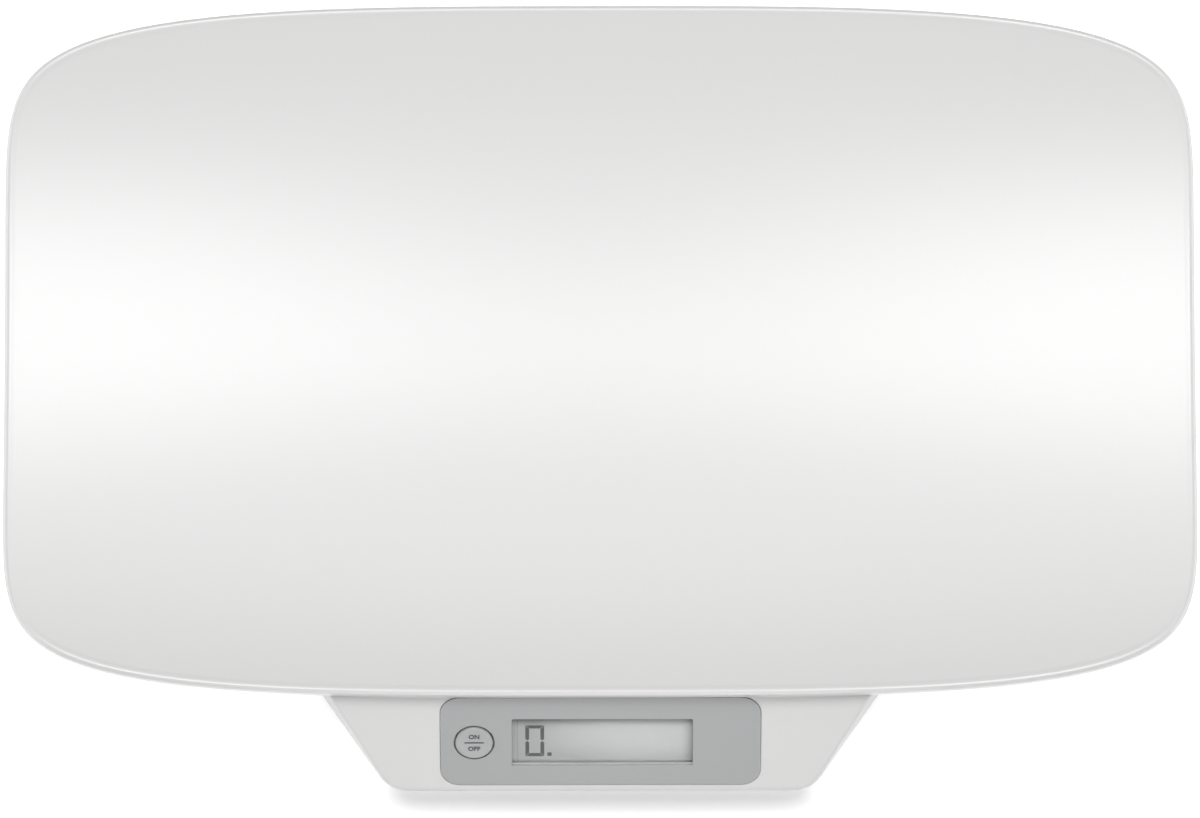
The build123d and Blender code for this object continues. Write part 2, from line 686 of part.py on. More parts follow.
# ---- Feet and load cells ----
def make_load_cell(x, y):
    """Square steel plate with a centre tongue that a foot's pin hangs from."""
    cell = block(CELL_SIZE, CELL_SIZE, CELL_HEIGHT, CELL_TOP, x, y)
    reach = CELL_SIZE / 2 - CELL_FRAME
    for side in (-1, 1):
        slot = block(CELL_SLOT, 2 * reach, 0, FAR, x + side * (reach - CELL_SLOT / 2), y)
        cell -= slot
    cell -= block(2 * reach, CELL_SLOT, 0, FAR, x, y + reach - CELL_SLOT / 2)
    return cell - post(PIN_RADIUS + FIT, 0, FAR, x, y)


def make_strain_gauges():
    """Two thin gauges on each cell's tongue, either side of the foot's pin."""
    place = PIN_RADIUS + HEAD_OVERHANG + GAUGE_WIDTH
    return [
        block(GAUGE_LENGTH, GAUGE_WIDTH, CELL_TOP, CELL_TOP + GAUGE_WALL, x, y + side * place)
        for x, y in FOOT_PLACES.values()
        for side in (-1, 1)
    ]


def make_foot_cup(x, y):
    """Stiff cup: a disc, a neck up to the cell and a headed pin through the tongue."""
    cup = post(PAD_RADIUS, PAD_WALL, PAD_WALL + CUP_WALL, x, y)
    cup = chamfer(cup.edges().filter_by(GeomType.CIRCLE).sort_by(Axis.Z)[-1], CUP_EDGE)
    cup += post(NECK_RADIUS, PAD_WALL + CUP_WALL, NECK_TOP, x, y)
    cup += post(PIN_RADIUS, NECK_TOP, CELL_TOP + FOOT_PLAY + PIN_HEAD, x, y)
    head = PIN_RADIUS + HEAD_OVERHANG
    return cup + post(head, CELL_TOP + FOOT_PLAY, CELL_TOP + FOOT_PLAY + PIN_HEAD, x, y)


def make_foot_pad(x, y):
    """Rubber pad with a chamfered lower edge and ring grooves in its sole."""
    pad = post(PAD_RADIUS, 0, PAD_WALL, x, y)
    pad = chamfer(pad.edges().filter_by(GeomType.CIRCLE).sort_by(Axis.Z)[0], PAD_EDGE)
    for radius in PAD_GROOVES:
        pad -= post(radius + PAD_GROOVE_WIDTH, 0, PAD_GROOVE_DEPTH, x, y) - post(radius, 0, PAD_WALL, x, y)
    return pad


# ---- Battery bay ----
def bay_walls():
    """Roofed box over the two cells."""
    outer_length = BAY_LENGTH + 2 * BAY_WALL
    outer_width = BAY_WIDTH + 2 * BAY_WALL
    return block(outer_length, outer_width, FLOOR_HEIGHT, BAY_TOP + BAY_WALL, 0, BAY_CENTRE)


def door_pivot():
    """Y and height of the door's pin axis, along its back edge."""
    return (BAY_CENTRE + BAY_WIDTH / 2 - DOOR_GAP - DOOR_WALL / 2, FLOOR_HEIGHT + DOOR_WALL / 2)


def open_floor(shell):
    """Opens the bay, the door's pin holes, the unit switch's slot, and adds its posts."""
    shell -= block(BAY_LENGTH, BAY_WIDTH, 0, BAY_TOP, 0, BAY_CENTRE)
    y, height = door_pivot()
    pins = Rot(0, 90, 0) * Cylinder(
        DOOR_PIN_RADIUS + DOOR_PIN_PLAY, BAY_LENGTH + 2 * (DOOR_PIN_LENGTH + DOOR_PIN_PLAY - DOOR_GAP)
    )
    shell -= Pos(0, y, height) * pins
    lead_hole = Rot(0, -90, 0) * Cylinder(
        LEAD_RADIUS + FIT, 2 * BAY_WALL, align=(Align.CENTER, Align.CENTER, Align.MIN)
    )
    for side in (-1, 1):
        shell -= Pos(-BAY_END, BAY_CENTRE + side * BATTERY_PITCH / 2, BATTERY_HEIGHT) * lead_hole
    slot = KNOB_LENGTH + UNIT_TRAVEL + 2 * FIT
    shell -= block(slot, KNOB_WIDTH + 2 * FIT, 0, FLOOR_TOP, UNIT_X, BAY_CENTRE)
    for x in unit_post_places():
        shell += post(2 * UNIT_POST_RADIUS, FLOOR_TOP, UNIT_TOP, x, BAY_CENTRE)
        shell += post(UNIT_POST_RADIUS, UNIT_TOP, UNIT_TOP + 2 * BOARD_WALL, x, BAY_CENTRE)
    return shell


def make_battery(side):
    """One AAA cell along X; the two lie head to tail."""
    body = Rot(0, 90, 0) * Cylinder(BATTERY_RADIUS, BATTERY_LENGTH - BATTERY_NUB_LENGTH)
    nub = Rot(0, 90, 0) * Cylinder(BATTERY_NUB_RADIUS, BATTERY_LENGTH)
    cell = Pos(-BATTERY_NUB_LENGTH / 2, 0, 0) * body
    cell += nub & Pos(BATTERY_LENGTH / 2, 0, 0) * Box(BATTERY_LENGTH, FAR, FAR)
    along = side * SPRING_DEPTH / 2
    turn = 0 if side > 0 else 180
    y = BAY_CENTRE + side * BATTERY_PITCH / 2
    return Pos(along, y, BATTERY_HEIGHT) * Rot(0, 0, turn) * cell


def make_spring_contact():
    """Sprung leaf on the first cell's flat end."""
    return flat_contact(-1, BATTERY_PITCH / 2) + spring_leaf(-1, BATTERY_PITCH / 2)


def flat_contact(end, y, width=CONTACT_WIDTH):
    """Flat plate against one end wall of the bay."""
    x = end * (BAY_END - CONTACT_WALL / 2)
    return block(
        CONTACT_WALL,
        width,
        BATTERY_HEIGHT - BATTERY_RADIUS,
        BATTERY_HEIGHT + BATTERY_RADIUS,
        x,
        BAY_CENTRE + y,
    )


def spring_leaf(end, y):
    """Strip that stands off the plate in a vee, up to a cell's flat end."""
    root = end * (BAY_END - CONTACT_WALL)
    tip = end * (BAY_END - CONTACT_WALL - SPRING_DEPTH)
    half = BATTERY_RADIUS * SPRING_SHARE
    vee = make_face(
        Polyline(
            (root, -half),
            (tip, 0),
            (root, half),
            (root, half - 3 * CONTACT_WALL),
            (tip + end * CONTACT_WALL, 0),
            (root, 3 * CONTACT_WALL - half),
            close=True,
        )
    )
    strip = extrude(Plane.XZ * vee, amount=CONTACT_WIDTH / 2, both=True)
    return Pos(0, BAY_CENTRE + y, BATTERY_HEIGHT) * strip


def make_tab_contact():
    """Flat plate that the second cell's nub rests on."""
    return flat_contact(-1, -BATTERY_PITCH / 2)


def make_link_contact():
    """Plate across both cells at the other end, with one sprung leaf."""
    plate = flat_contact(1, 0, BATTERY_PITCH + CONTACT_WIDTH)
    return plate + spring_leaf(1, -BATTERY_PITCH / 2)


def make_battery_door():
    """Door with round pins along its back edge, and a finger dip and grip grooves in front."""
    y, height = door_pivot()
    length = BAY_LENGTH - 2 * DOOR_GAP
    front = BAY_CENTRE - BAY_WIDTH / 2 + DOOR_GAP
    door = block(length, y - front, FLOOR_HEIGHT, FLOOR_HEIGHT + DOOR_WALL, 0, (y + front) / 2)
    door += Pos(0, y, height) * Rot(0, 90, 0) * Cylinder(DOOR_WALL / 2, length)
    pins = Rot(0, 90, 0) * Cylinder(DOOR_PIN_RADIUS, length + 2 * DOOR_PIN_LENGTH)
    door += Pos(0, y, height) * pins
    dip = DOOR_GRIP_RADIUS**2 + DOOR_GRIP_DEPTH**2
    ball = dip / (2 * DOOR_GRIP_DEPTH)
    door -= Pos(0, front + DOOR_GRIP_INSET, FLOOR_HEIGHT + DOOR_GRIP_DEPTH - ball) * Sphere(ball)
    for place in centred(DOOR_RIDGES):
        row = front + DOOR_RIDGE_INSET + place * DOOR_RIDGE_PITCH
        door -= block(
            DOOR_RIDGE_LENGTH, DOOR_RIDGE_WIDTH, 0, FLOOR_HEIGHT + DOOR_RIDGE_DEPTH, 0, row
        )
    return door


# ---- Unit switch ----
def unit_post_places():
    """Where the two posts that carry the unit switch's board stand, along X."""
    return [UNIT_X + side * UNIT_POST_PITCH / 2 for side in (-1, 1)]


def make_unit_board():
    """Small board on the two posts."""
    board = block(
        UNIT_BOARD_LENGTH, UNIT_BOARD_WIDTH, UNIT_TOP, UNIT_TOP + BOARD_WALL, UNIT_X, BAY_CENTRE
    )
    for x in unit_post_places():
        board -= post(UNIT_POST_RADIUS + FIT, 0, FAR, x, BAY_CENTRE)
    return board


def make_unit_switch_body():
    """Slide switch under the board, open below for the knob's stem."""
    body = block(UNIT_LENGTH, UNIT_WIDTH, UNIT_FLOOR, UNIT_TOP, UNIT_X, BAY_CENTRE)
    slot = KNOB_STEM + UNIT_TRAVEL + 2 * FIT
    return body - block(slot, KNOB_STEM + 2 * FIT, 0, UNIT_FLOOR + KNOB_STEM, UNIT_X, BAY_CENTRE)


def make_unit_switch_knob():
    """Knob at the left end of its travel, sunk a little below the floor's face."""
    x = UNIT_X - UNIT_TRAVEL / 2
    knob = block(KNOB_LENGTH, KNOB_WIDTH, FLOOR_HEIGHT + KNOB_SUNK, FLOOR_TOP, x, BAY_CENTRE)
    return knob + block(
        KNOB_STEM, KNOB_STEM, FLOOR_TOP, UNIT_FLOOR + KNOB_STEM - FIT, x, BAY_CENTRE
    )


# ---- Leads ----
def header_pin(place, reach=0.0):
    """Point on the header's back where a lead goes in, or one straight behind it."""
    x, y = header_centre()
    pitch = HEADER_LENGTH / (LEAD_PINS + 1)
    depth = BOARD_BACK - HEADER_HEIGHT - reach
    return console().from_local_coords(Vector(x + place * pitch, PANEL_MIDDLE + y, depth))


def lead(place, *start):
    """Round lead from its first points, along the long run, up and into its header pin."""
    pin = header_pin(place)
    bend = header_pin(place, LEAD_DROP)
    turn = Vector(bend.X, bend.Y + LEAD_SWING, LEAD_LEVEL)
    path = FilletPolyline(*start, turn, bend, pin, radius=LEAD_BEND)
    return sweep(Plane(path @ 0, z_dir=path % 0) * Circle(LEAD_RADIUS), path=path)


def make_cell_leads():
    """One lead from the inner edge of each load cell."""
    pins = {"front_left": -3, "back_left": -2, "back_right": 2, "front_right": 3}
    edge = (CELL_SIZE - CELL_FRAME) / 2
    leads = []
    for name, (x, y) in FOOT_PLACES.items():
        inner = x - math.copysign(edge, x)
        leads.append(lead(pins[name], (inner, y, CELL_TOP), (inner, y, LEAD_LEVEL)))
    return leads


def make_battery_leads():
    """Two leads that come out through the bay's end wall, one behind each contact."""
    leads = []
    for side, place in ((1, -1), (-1, 0)):
        y = BAY_CENTRE + side * BATTERY_PITCH / 2
        out = -BAY_END + (place - 2) * LEAD_BEND
        leads.append(lead(place, (-BAY_END, y, BATTERY_HEIGHT), (out, y, BATTERY_HEIGHT)))
    return leads


def make_unit_lead():
    """Lead that rises from the unit switch's board."""
    top = UNIT_TOP + BOARD_WALL
    return lead(1, (UNIT_X, BAY_CENTRE, top), (UNIT_X, BAY_CENTRE, LEAD_LEVEL))


def build():
    """Makes every sub-part, in its place."""
    parts = {
        "tray": make_tray(),
        "tray_screws": make_tray_screws(),
        "upper_housing": make_upper_housing(),
        "lower_housing": make_lower_housing(),
        "housing_screws": make_housing_screws(),
        "console_overlay": make_console_overlay(),
        "display_lens": make_display_lens(),
        "button_cap": make_button_cap(),
        "switch_body": make_switch_body(),
        "switch_plunger": make_switch_plunger(),
        "lcd_glass": make_lcd_glass(),
        "lcd_frame": make_lcd_frame(),
        "lcd_connectors": make_lcd_connectors(),
        "main_board": make_main_board(),
        "board_screws": make_board_screws(),
        "controller_chip": make_controller_chip(),
        "crystal": make_crystal(),
        "capacitors": make_capacitors(),
        "lead_header": make_lead_header(),
        "strain_gauges": make_strain_gauges(),
        "battery_1": make_battery(1),
        "battery_2": make_battery(-1),
        "spring_contact": make_spring_contact(),
        "tab_contact": make_tab_contact(),
        "link_contact": make_link_contact(),
        "battery_door": make_battery_door(),
        "unit_board": make_unit_board(),
        "unit_switch_body": make_unit_switch_body(),
        "unit_switch_knob": make_unit_switch_knob(),
        "cell_leads": make_cell_leads(),
        "battery_leads": make_battery_leads(),
        "unit_lead": make_unit_lead(),
    }
    for name, (x, y) in FOOT_PLACES.items():
        parts[f"load_cell_{name}"] = make_load_cell(x, y)
        parts[f"foot_cup_{name}"] = make_foot_cup(x, y)
        parts[f"foot_pad_{name}"] = make_foot_pad(x, y)
    return parts


def write(parts):
    """Writes one STEP file for each sub-part."""
    os.makedirs("parts", exist_ok=True)
    for name, shape in parts.items():
        solids = shape if isinstance(shape, list) else [shape]
        whole = Compound([solid for thing in solids for solid in thing.solids()])
        export_step(whole, f"parts/{name}.step")


if __name__ == "__main__":
    write(build())
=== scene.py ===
"""Looks of a digital baby weighing scale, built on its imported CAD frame.

Metres, +Z up, X along the tray, and the console faces -Y. Each class holds one sub-assembly: its
sizes are fields, and its methods build the meshes and dress them. A finish is a frozen dataclass
that makes one material from shared shader groups.
"""

from __future__ import annotations

import json
import logging
import math
from collections.abc import Callable, Iterable, Sequence
from dataclasses import dataclass, field
from enum import Enum
from typing import ClassVar

import bmesh
import bpy
from mathutils import Matrix, Vector

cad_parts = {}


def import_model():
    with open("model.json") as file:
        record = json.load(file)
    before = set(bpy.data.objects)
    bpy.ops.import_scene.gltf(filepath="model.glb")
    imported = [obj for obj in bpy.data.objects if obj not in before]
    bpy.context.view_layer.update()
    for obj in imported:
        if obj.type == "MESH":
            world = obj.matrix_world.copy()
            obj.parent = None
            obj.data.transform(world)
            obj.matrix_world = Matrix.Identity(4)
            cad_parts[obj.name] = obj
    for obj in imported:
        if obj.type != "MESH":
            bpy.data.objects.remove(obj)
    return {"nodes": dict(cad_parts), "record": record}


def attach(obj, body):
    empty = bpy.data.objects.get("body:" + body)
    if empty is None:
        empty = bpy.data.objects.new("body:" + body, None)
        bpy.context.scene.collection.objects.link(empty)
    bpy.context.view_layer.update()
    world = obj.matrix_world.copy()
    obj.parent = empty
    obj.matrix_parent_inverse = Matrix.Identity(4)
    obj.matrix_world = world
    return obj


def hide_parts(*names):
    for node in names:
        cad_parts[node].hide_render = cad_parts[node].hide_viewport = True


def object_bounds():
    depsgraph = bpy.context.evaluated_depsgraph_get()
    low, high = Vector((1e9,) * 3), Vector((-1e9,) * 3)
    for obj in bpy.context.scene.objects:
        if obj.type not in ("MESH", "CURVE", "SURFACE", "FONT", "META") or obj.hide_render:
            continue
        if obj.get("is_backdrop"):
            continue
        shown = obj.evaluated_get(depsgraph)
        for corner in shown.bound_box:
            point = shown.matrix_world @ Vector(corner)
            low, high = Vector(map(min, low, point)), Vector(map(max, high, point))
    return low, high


log = logging.getLogger("baby_scale")

MM = 0.001
AXIS = 0.1 * MM  # radius at which a turned profile starts, close to its axis
SLOTS: set[str] = set()  # material slots that the frame's record has; main() fills it

Mesh = bpy.types.Mesh
Material = bpy.types.Material
Node = bpy.types.Node
Object = bpy.types.Object
Socket = bpy.types.NodeSocket
Tree = bpy.types.NodeTree
Point = tuple[float, float]
Place = tuple[float, float, float]
Triple = tuple[float, float, float]
Station = tuple[float, float, float, float]  # X and Y of a point, and its outward normal's
Turn = tuple[Vector, float, float]  # a corner's centre and radius, and an angle on it
Inputs = dict[str | int, object] | None


# ---- The plane that the console, its display and their shading share ----
@dataclass(frozen=True)
class ConsoleFace:
    """The console's sloping plane; X runs across it, Y up the slope and Z out of it."""

    front_y: float = -179.7 * MM
    edge_height: float = 20.0 * MM
    tilt: float = 43.0
    panel_middle: float = 27.4 * MM

    def height(self, y: float) -> float:
        """Height of the plane at a place along Y."""
        return self.edge_height + (y - self.front_y) * math.tan(math.radians(self.tilt))

    def matrix(self) -> Matrix:
        """Places a thing from the panel's middle."""
        turn = Matrix.Rotation(math.radians(self.tilt), 4, "X")
        edge = Matrix.Translation((0, self.front_y, self.edge_height))
        return edge @ turn @ Matrix.Translation((0, self.panel_middle, 0))


# ---- Node trees ----
class Graph:
    """A node tree being built, with short ways to add, fill and join its nodes."""

    def __init__(self, tree: Tree) -> None:
        """Takes the tree to build in.

        Args:
            tree: a shader or geometry tree.
        """
        self.tree = tree

    def node(self, kind: str, inputs: Inputs = None, **settings: object) -> Node:
        """Adds a node.

        Args:
            kind: the node's type name.
            inputs: values, sockets or Values for its inputs, by name or place.
            settings: the node's own properties.

        Returns:
            The new node.
        """
        made = self.tree.nodes.new(kind)
        for name, value in settings.items():
            setattr(made, name, value)
        for name, value in (inputs or {}).items():
            self.fill(made.inputs[name], value)
        return made

    def fill(self, target: Socket, value: object) -> None:
        """Joins a socket or Value to an input, or sets the input's own value.

        Args:
            target: the input.
            value: what it gets.
        """
        source = value.socket if isinstance(value, Value) else value
        if isinstance(source, bpy.types.NodeSocket):
            self.tree.links.new(source, target)
        else:
            target.default_value = source

    def value(
        self, kind: str, output: str | int = 0, inputs: Inputs = None, **settings: object
    ) -> Value:
        """Adds a node and returns one of its outputs as a Value."""
        return Value(self, self.node(kind, inputs, **settings).outputs[output])

    def split(self, vector: object) -> tuple[Value, Value, Value]:
        """Takes a vector apart into its X, Y and Z Values."""
        made = self.node("ShaderNodeSeparateXYZ", {0: vector})
        return tuple(Value(self, out) for out in made.outputs[:3])


@dataclass(frozen=True)
class Value:
    """A number or vector in a tree; arithmetic on it adds Math nodes."""

    graph: Graph
    socket: Socket

    def math(self, operation: str, *others: object) -> Value:
        """Adds a Math node that starts from this value."""
        inputs = dict(enumerate((self, *others)))
        return self.graph.value("ShaderNodeMath", inputs=inputs, operation=operation)

    def __add__(self, other: object) -> Value:
        """Sum."""
        return self.math("ADD", other)

    def __sub__(self, other: object) -> Value:
        """Difference."""
        return self.math("SUBTRACT", other)

    def __mul__(self, other: object) -> Value:
        """Product."""
        return self.math("MULTIPLY", other)

    def __truediv__(self, other: object) -> Value:
        """Quotient."""
        return self.math("DIVIDE", other)

    def __pow__(self, other: object) -> Value:
        """Power."""
        return self.math("POWER", other)

    def size(self) -> Value:
        """The value without its sign."""
        return self.math("ABSOLUTE")

    def sign(self) -> Value:
        """Minus one, nought or one."""
        return self.math("SIGN")

    def root(self) -> Value:
        """Square root."""
        return self.math("SQRT")


def group_tree(name: str, kind: str, inputs: dict[str, object], outputs: dict[str, str]) -> Graph:
    """Starts a node group with named sockets.

    Args:
        name: the group's name.
        kind: "ShaderNodeTree" or "GeometryNodeTree".
        inputs: each input's default; its Python type picks the socket's type.
        outputs: each output's socket type.

    Returns:
        The graph, whose tree has a Group Input and a Group Output node.
    """
    tree = bpy.data.node_groups.new(name, kind)
    kinds = {bool: "NodeSocketBool", int: "NodeSocketInt", float: "NodeSocketFloat"}
    for title, value in inputs.items():
        socket_type = value if isinstance(value, str) else kinds.get(type(value), "NodeSocketColor")
        made = tree.interface.new_socket(title, in_out="INPUT", socket_type=socket_type)
        if not isinstance(value, str):
            made.default_value = value
    for title, socket_type in outputs.items():
        tree.interface.new_socket(title, in_out="OUTPUT", socket_type=socket_type)
    tree.nodes.new("NodeGroupInput")
    tree.nodes.new("NodeGroupOutput")
    return Graph(tree)


def group_inputs(graph: Graph) -> dict[str, Value]:
    """The named inputs of a group, as Values."""
    sockets = graph.tree.nodes["Group Input"].outputs
    return {socket.name: Value(graph, socket) for socket in sockets if socket.name}


def group_outputs(graph: Graph, **values: object) -> None:
    """Joins Values to the group's named outputs.

    Args:
        graph: the group's graph.
        values: the Value or socket for each output.
    """
    target = graph.tree.nodes["Group Output"]
    for name, value in values.items():
        graph.fill(target.inputs[name], value)


# ---- Shader groups that several finishes share ----
class Effect(Enum):
    """Shader groups, each built once."""

    GRAIN = "moulded_grain"
    BRUSH = "brushed_lines"
    TONE = "slow_tone"
    DUST = "settled_dust"
    # Painted shade along the display's edges and a painted lighter patch on it.
    SHADE = "window_shade"


def object_noise(
    graph: Graph, scale: object, stretch: Triple = (1.0, 1.0, 1.0), detail: float = 2.0
) -> Value:
    """Noise over the object's own coordinates.

    Args:
        graph: the tree to add to.
        scale: cells to the metre.
        stretch: factor on each axis.
        detail: octaves.

    Returns:
        The noise as a Value from 0 to 1.
    """
    place = graph.value("ShaderNodeTexCoord", "Object")
    mapped = graph.value("ShaderNodeMapping", inputs={"Vector": place, "Scale": stretch})
    fed = {"Vector": mapped, "Scale": scale, "Detail": detail}
    return graph.value("ShaderNodeTexNoise", 0, fed)


def grain_group() -> Graph:
    """Fine spark-eroded grain of a moulding tool: a height and a roughness mask.

    Returns:
        The group's graph.
    """
    graph = group_tree(
        Effect.GRAIN.value,
        "ShaderNodeTree",
        {"Scale": 1400.0, "Mix": 0.35},
        {"Height": "NodeSocketFloat", "Mask": "NodeSocketFloat"},
    )
    sizes = group_inputs(graph)
    place = graph.value("ShaderNodeTexCoord", "Object")
    fed = {"Vector": place, "Scale": sizes["Scale"]}
    cells = graph.value("ShaderNodeTexVoronoi", "Distance", fed)
    waves = object_noise(graph, sizes["Scale"] * 0.35)
    height = cells * sizes["Mix"] + waves * (sizes["Mix"] * -1 + 1)
    mask = object_noise(graph, sizes["Scale"] * 0.15, detail=3.0)
    group_outputs(graph, Height=height, Mask=mask)
    return graph


def brush_group() -> Graph:
    """Fine lines along X, as on brushed or drawn metal.

    Returns:
        The group's graph.
    """
    graph = group_tree(
        Effect.BRUSH.value,
        "ShaderNodeTree",
        {"Scale": 900.0},
        {"Height": "NodeSocketFloat", "Mask": "NodeSocketFloat"},
    )
    sizes = group_inputs(graph)
    fine = object_noise(graph, sizes["Scale"], (0.02, 1.0, 1.0), 4.0)
    broad = object_noise(graph, sizes["Scale"] * 0.2, (0.03, 1.0, 1.0))
    group_outputs(graph, Height=fine, Mask=fine * 0.6 + broad * 0.4)
    return graph


def tone_group() -> Graph:
    """Slow variation of a colour over centimetres.

    Returns:
        The group's graph.
    """
    graph = group_tree(
        Effect.TONE.value,
        "ShaderNodeTree",
        {"Colour": (0.8, 0.8, 0.8, 1.0), "Amount": 0.03, "Scale": 14.0},
        {"Colour": "NodeSocketColor"},
    )
    sizes = group_inputs(graph)
    noise = object_noise(graph, sizes["Scale"], detail=3.0)
    level = (noise - 0.5) * sizes["Amount"] * 2 + 1
    shade = graph.node("ShaderNodeHueSaturation", {"Color": sizes["Colour"], "Value": level})
    group_outputs(graph, Colour=shade.outputs[0])
    return graph


def dust_group() -> Graph:
    """Thin dust and wipe marks, mostly on what faces up.

    Returns:
        The group's graph.
    """
    graph = group_tree(
        Effect.DUST.value,
        "ShaderNodeTree",
        {
            "Colour": (0.8, 0.8, 0.8, 1.0),
            "Roughness": 0.4,
            "Amount": 0.05,
            "Dust": (0.58, 0.57, 0.55, 1.0),
            "Speck scale": 320.0,
            "Wipe scale": 26.0,
            "Least": 0.15,
        },
        {"Colour": "NodeSocketColor", "Roughness": "NodeSocketFloat"},
    )
    sizes = group_inputs(graph)
    up = graph.split(graph.value("ShaderNodeNewGeometry", "Normal"))[2]
    up = up.math("MAXIMUM", sizes["Least"])
    specks = object_noise(graph, sizes["Speck scale"], detail=4.0)
    wipes = object_noise(graph, sizes["Wipe scale"], (0.25, 1.0, 1.0), 3.0)
    share = (specks * wipes * up * sizes["Amount"] * 2).math("MINIMUM", 1.0)
    mixed = graph.node(
        "ShaderNodeMix",
        {"Factor": share, "A": sizes["Colour"], "B": sizes["Dust"]},
        data_type="RGBA",
    )
    rough = sizes["Roughness"] + share * 0.5 + (wipes - 0.5) * sizes["Amount"]
    group_outputs(graph, Colour=mixed.outputs["Result"], Roughness=rough)
    return graph


def painted_light_and_shade_group() -> Graph:
    """Painted shade along a display's right, top and bottom edges, a thin dark line inside its
    left, and a painted lighter patch off its middle.

    Returns:
        The group's graph.
    """
    graph = group_tree(
        Effect.SHADE.value,
        "ShaderNodeTree",
        {
            "Colour": (0.5, 0.5, 0.5, 1.0),
            "Across": 0.0,
            "Up": 0.0,
            "Left": -0.04,
            "Right": 0.04,
            "Top": 0.01,
            "Foot": -0.013,
        },
        {"Colour": "NodeSocketColor"},
    )
    sizes = group_inputs(graph)

    def fade(distance: Value, width: float) -> Value:
        """One at an edge, falling smoothly to nought at a distance from it."""
        near = (distance / -width + 1).math("MAXIMUM", 0.0)
        return near * near

    left = sizes["Across"] - sizes["Left"]
    right = sizes["Right"] - sizes["Across"]
    top = sizes["Top"] - sizes["Up"]
    foot = sizes["Up"] - sizes["Foot"]
    # A painted lighter patch off the display's middle, on a plain level.
    border_inset, plain, painted_light_gain = 2.6 * MM, 0.87, 0.34
    painted_light_inset, painted_light_reach = (22.0 * MM, 7.0 * MM), (52.0 * MM, 18.0 * MM)
    border = (left - border_inset).size()
    painted_light_x = (right - painted_light_inset[0]) / painted_light_reach[0]
    painted_light_y = (top - painted_light_inset[1]) / painted_light_reach[1]
    painted_light_patch = (painted_light_x * painted_light_x * -1 - painted_light_y * painted_light_y + 1).math("MAXIMUM", 0.0)
    level = painted_light_patch * painted_light_gain + plain
    # Each edge's width and depth of painted shade, and of the thin dark line inside the left edge.
    for distance, width, depth in (
        (right, 6.5 * MM, 0.50),
        (top, 5.0 * MM, 0.46),
        (foot, 1.2 * MM, 0.02),
        (border, 0.7 * MM, 0.20),
    ):
        level = level - fade(distance, width) * depth
    shade = graph.node("ShaderNodeHueSaturation", {"Color": sizes["Colour"], "Value": level})
    group_outputs(graph, Colour=shade.outputs[0])
    return graph


BUILDERS: dict[Effect, Callable[[], Graph]] = {
    Effect.GRAIN: grain_group,
    Effect.BRUSH: brush_group,
    Effect.TONE: tone_group,
    Effect.DUST: dust_group,
    Effect.SHADE: painted_light_and_shade_group,
}


def effect(graph: Graph, which: Effect, **inputs: object) -> Node:
    """Places a shared shader group in a material.

    Args:
        graph: the material's graph.
        which: the group.
        inputs: values for the group's inputs.

    Returns:
        The group node.
    """
    tree = bpy.data.node_groups.get(which.value) or BUILDERS[which]().tree
    made = graph.node("ShaderNodeGroup", node_tree=tree)
    for name, value in inputs.items():
        graph.fill(made.inputs[name], value)
    return made


# ---- Finishes ----
class Texture(Enum):
    """What a finish's bump and roughness follow."""

    GRAINED = Effect.GRAIN
    BRUSHED = Effect.BRUSH


def new_material(name: str) -> tuple[Material, Graph, Node]:
    """Starts a material.

    Args:
        name: the material's name.

    Returns:
        The material, its graph and its Principled BSDF.
    """
    made = bpy.data.materials.new(name)
    made.use_nodes = True
    return made, Graph(made.node_tree), made.node_tree.nodes["Principled BSDF"]


@dataclass(frozen=True)
class Surface:
    """What a piece is finished in, named after its slot in the frame's record."""

    slot: str

    def material(self) -> Material:
        """The finish's material, made at the first call."""
        name = f"finish_{self.slot}"
        return bpy.data.materials.get(name) or self.make(name)

    def make(self, name: str) -> Material:
        """Makes the material; each kind of finish has its own way."""
        raise NotImplementedError


@dataclass(frozen=True)
class Finish(Surface):
    """An opaque finish; colours are linear and lengths are metres."""

    colour: Triple
    roughness: float
    metallic: float = 0.0
    texture: Texture = Texture.GRAINED
    scale: float = 1400.0
    relief: float = 0.01 * MM
    spread: float = 0.06
    tone: float = 0.02
    tone_scale: float = 14.0
    dust: float = 0.04
    coat: float = 0.0
    specular: float = 0.5

    def colour_source(self, graph: Graph) -> Socket:
        """Socket that gives the finish's colour before any dust."""
        inputs = {"Colour": (*self.colour, 1.0), "Amount": self.tone, "Scale": self.tone_scale}
        return effect(graph, Effect.TONE, **inputs).outputs["Colour"]

    def make(self, name: str) -> Material:
        """Makes the material.

        Args:
            name: the material's name.

        Returns:
            The material.
        """
        made, graph, shader = new_material(name)
        pattern = effect(graph, self.texture.value, Scale=self.scale)
        mask = Value(graph, pattern.outputs["Mask"])
        rough = (mask - 0.5) * self.spread + self.roughness
        colour = self.colour_source(graph)
        dust = effect(graph, Effect.DUST, Colour=colour, Roughness=rough, Amount=self.dust)
        bump = graph.node(
            "ShaderNodeBump", {"Height": pattern.outputs["Height"], "Distance": self.relief}
        )
        graph.fill(shader.inputs["Base Color"], dust.outputs["Colour"])
        graph.fill(shader.inputs["Roughness"], dust.outputs["Roughness"])
        graph.fill(shader.inputs["Normal"], bump.outputs["Normal"])
        shader.inputs["Metallic"].default_value = self.metallic
        shader.inputs["Coat Weight"].default_value = self.coat
        shader.inputs["Specular IOR Level"].default_value = self.specular
        return made


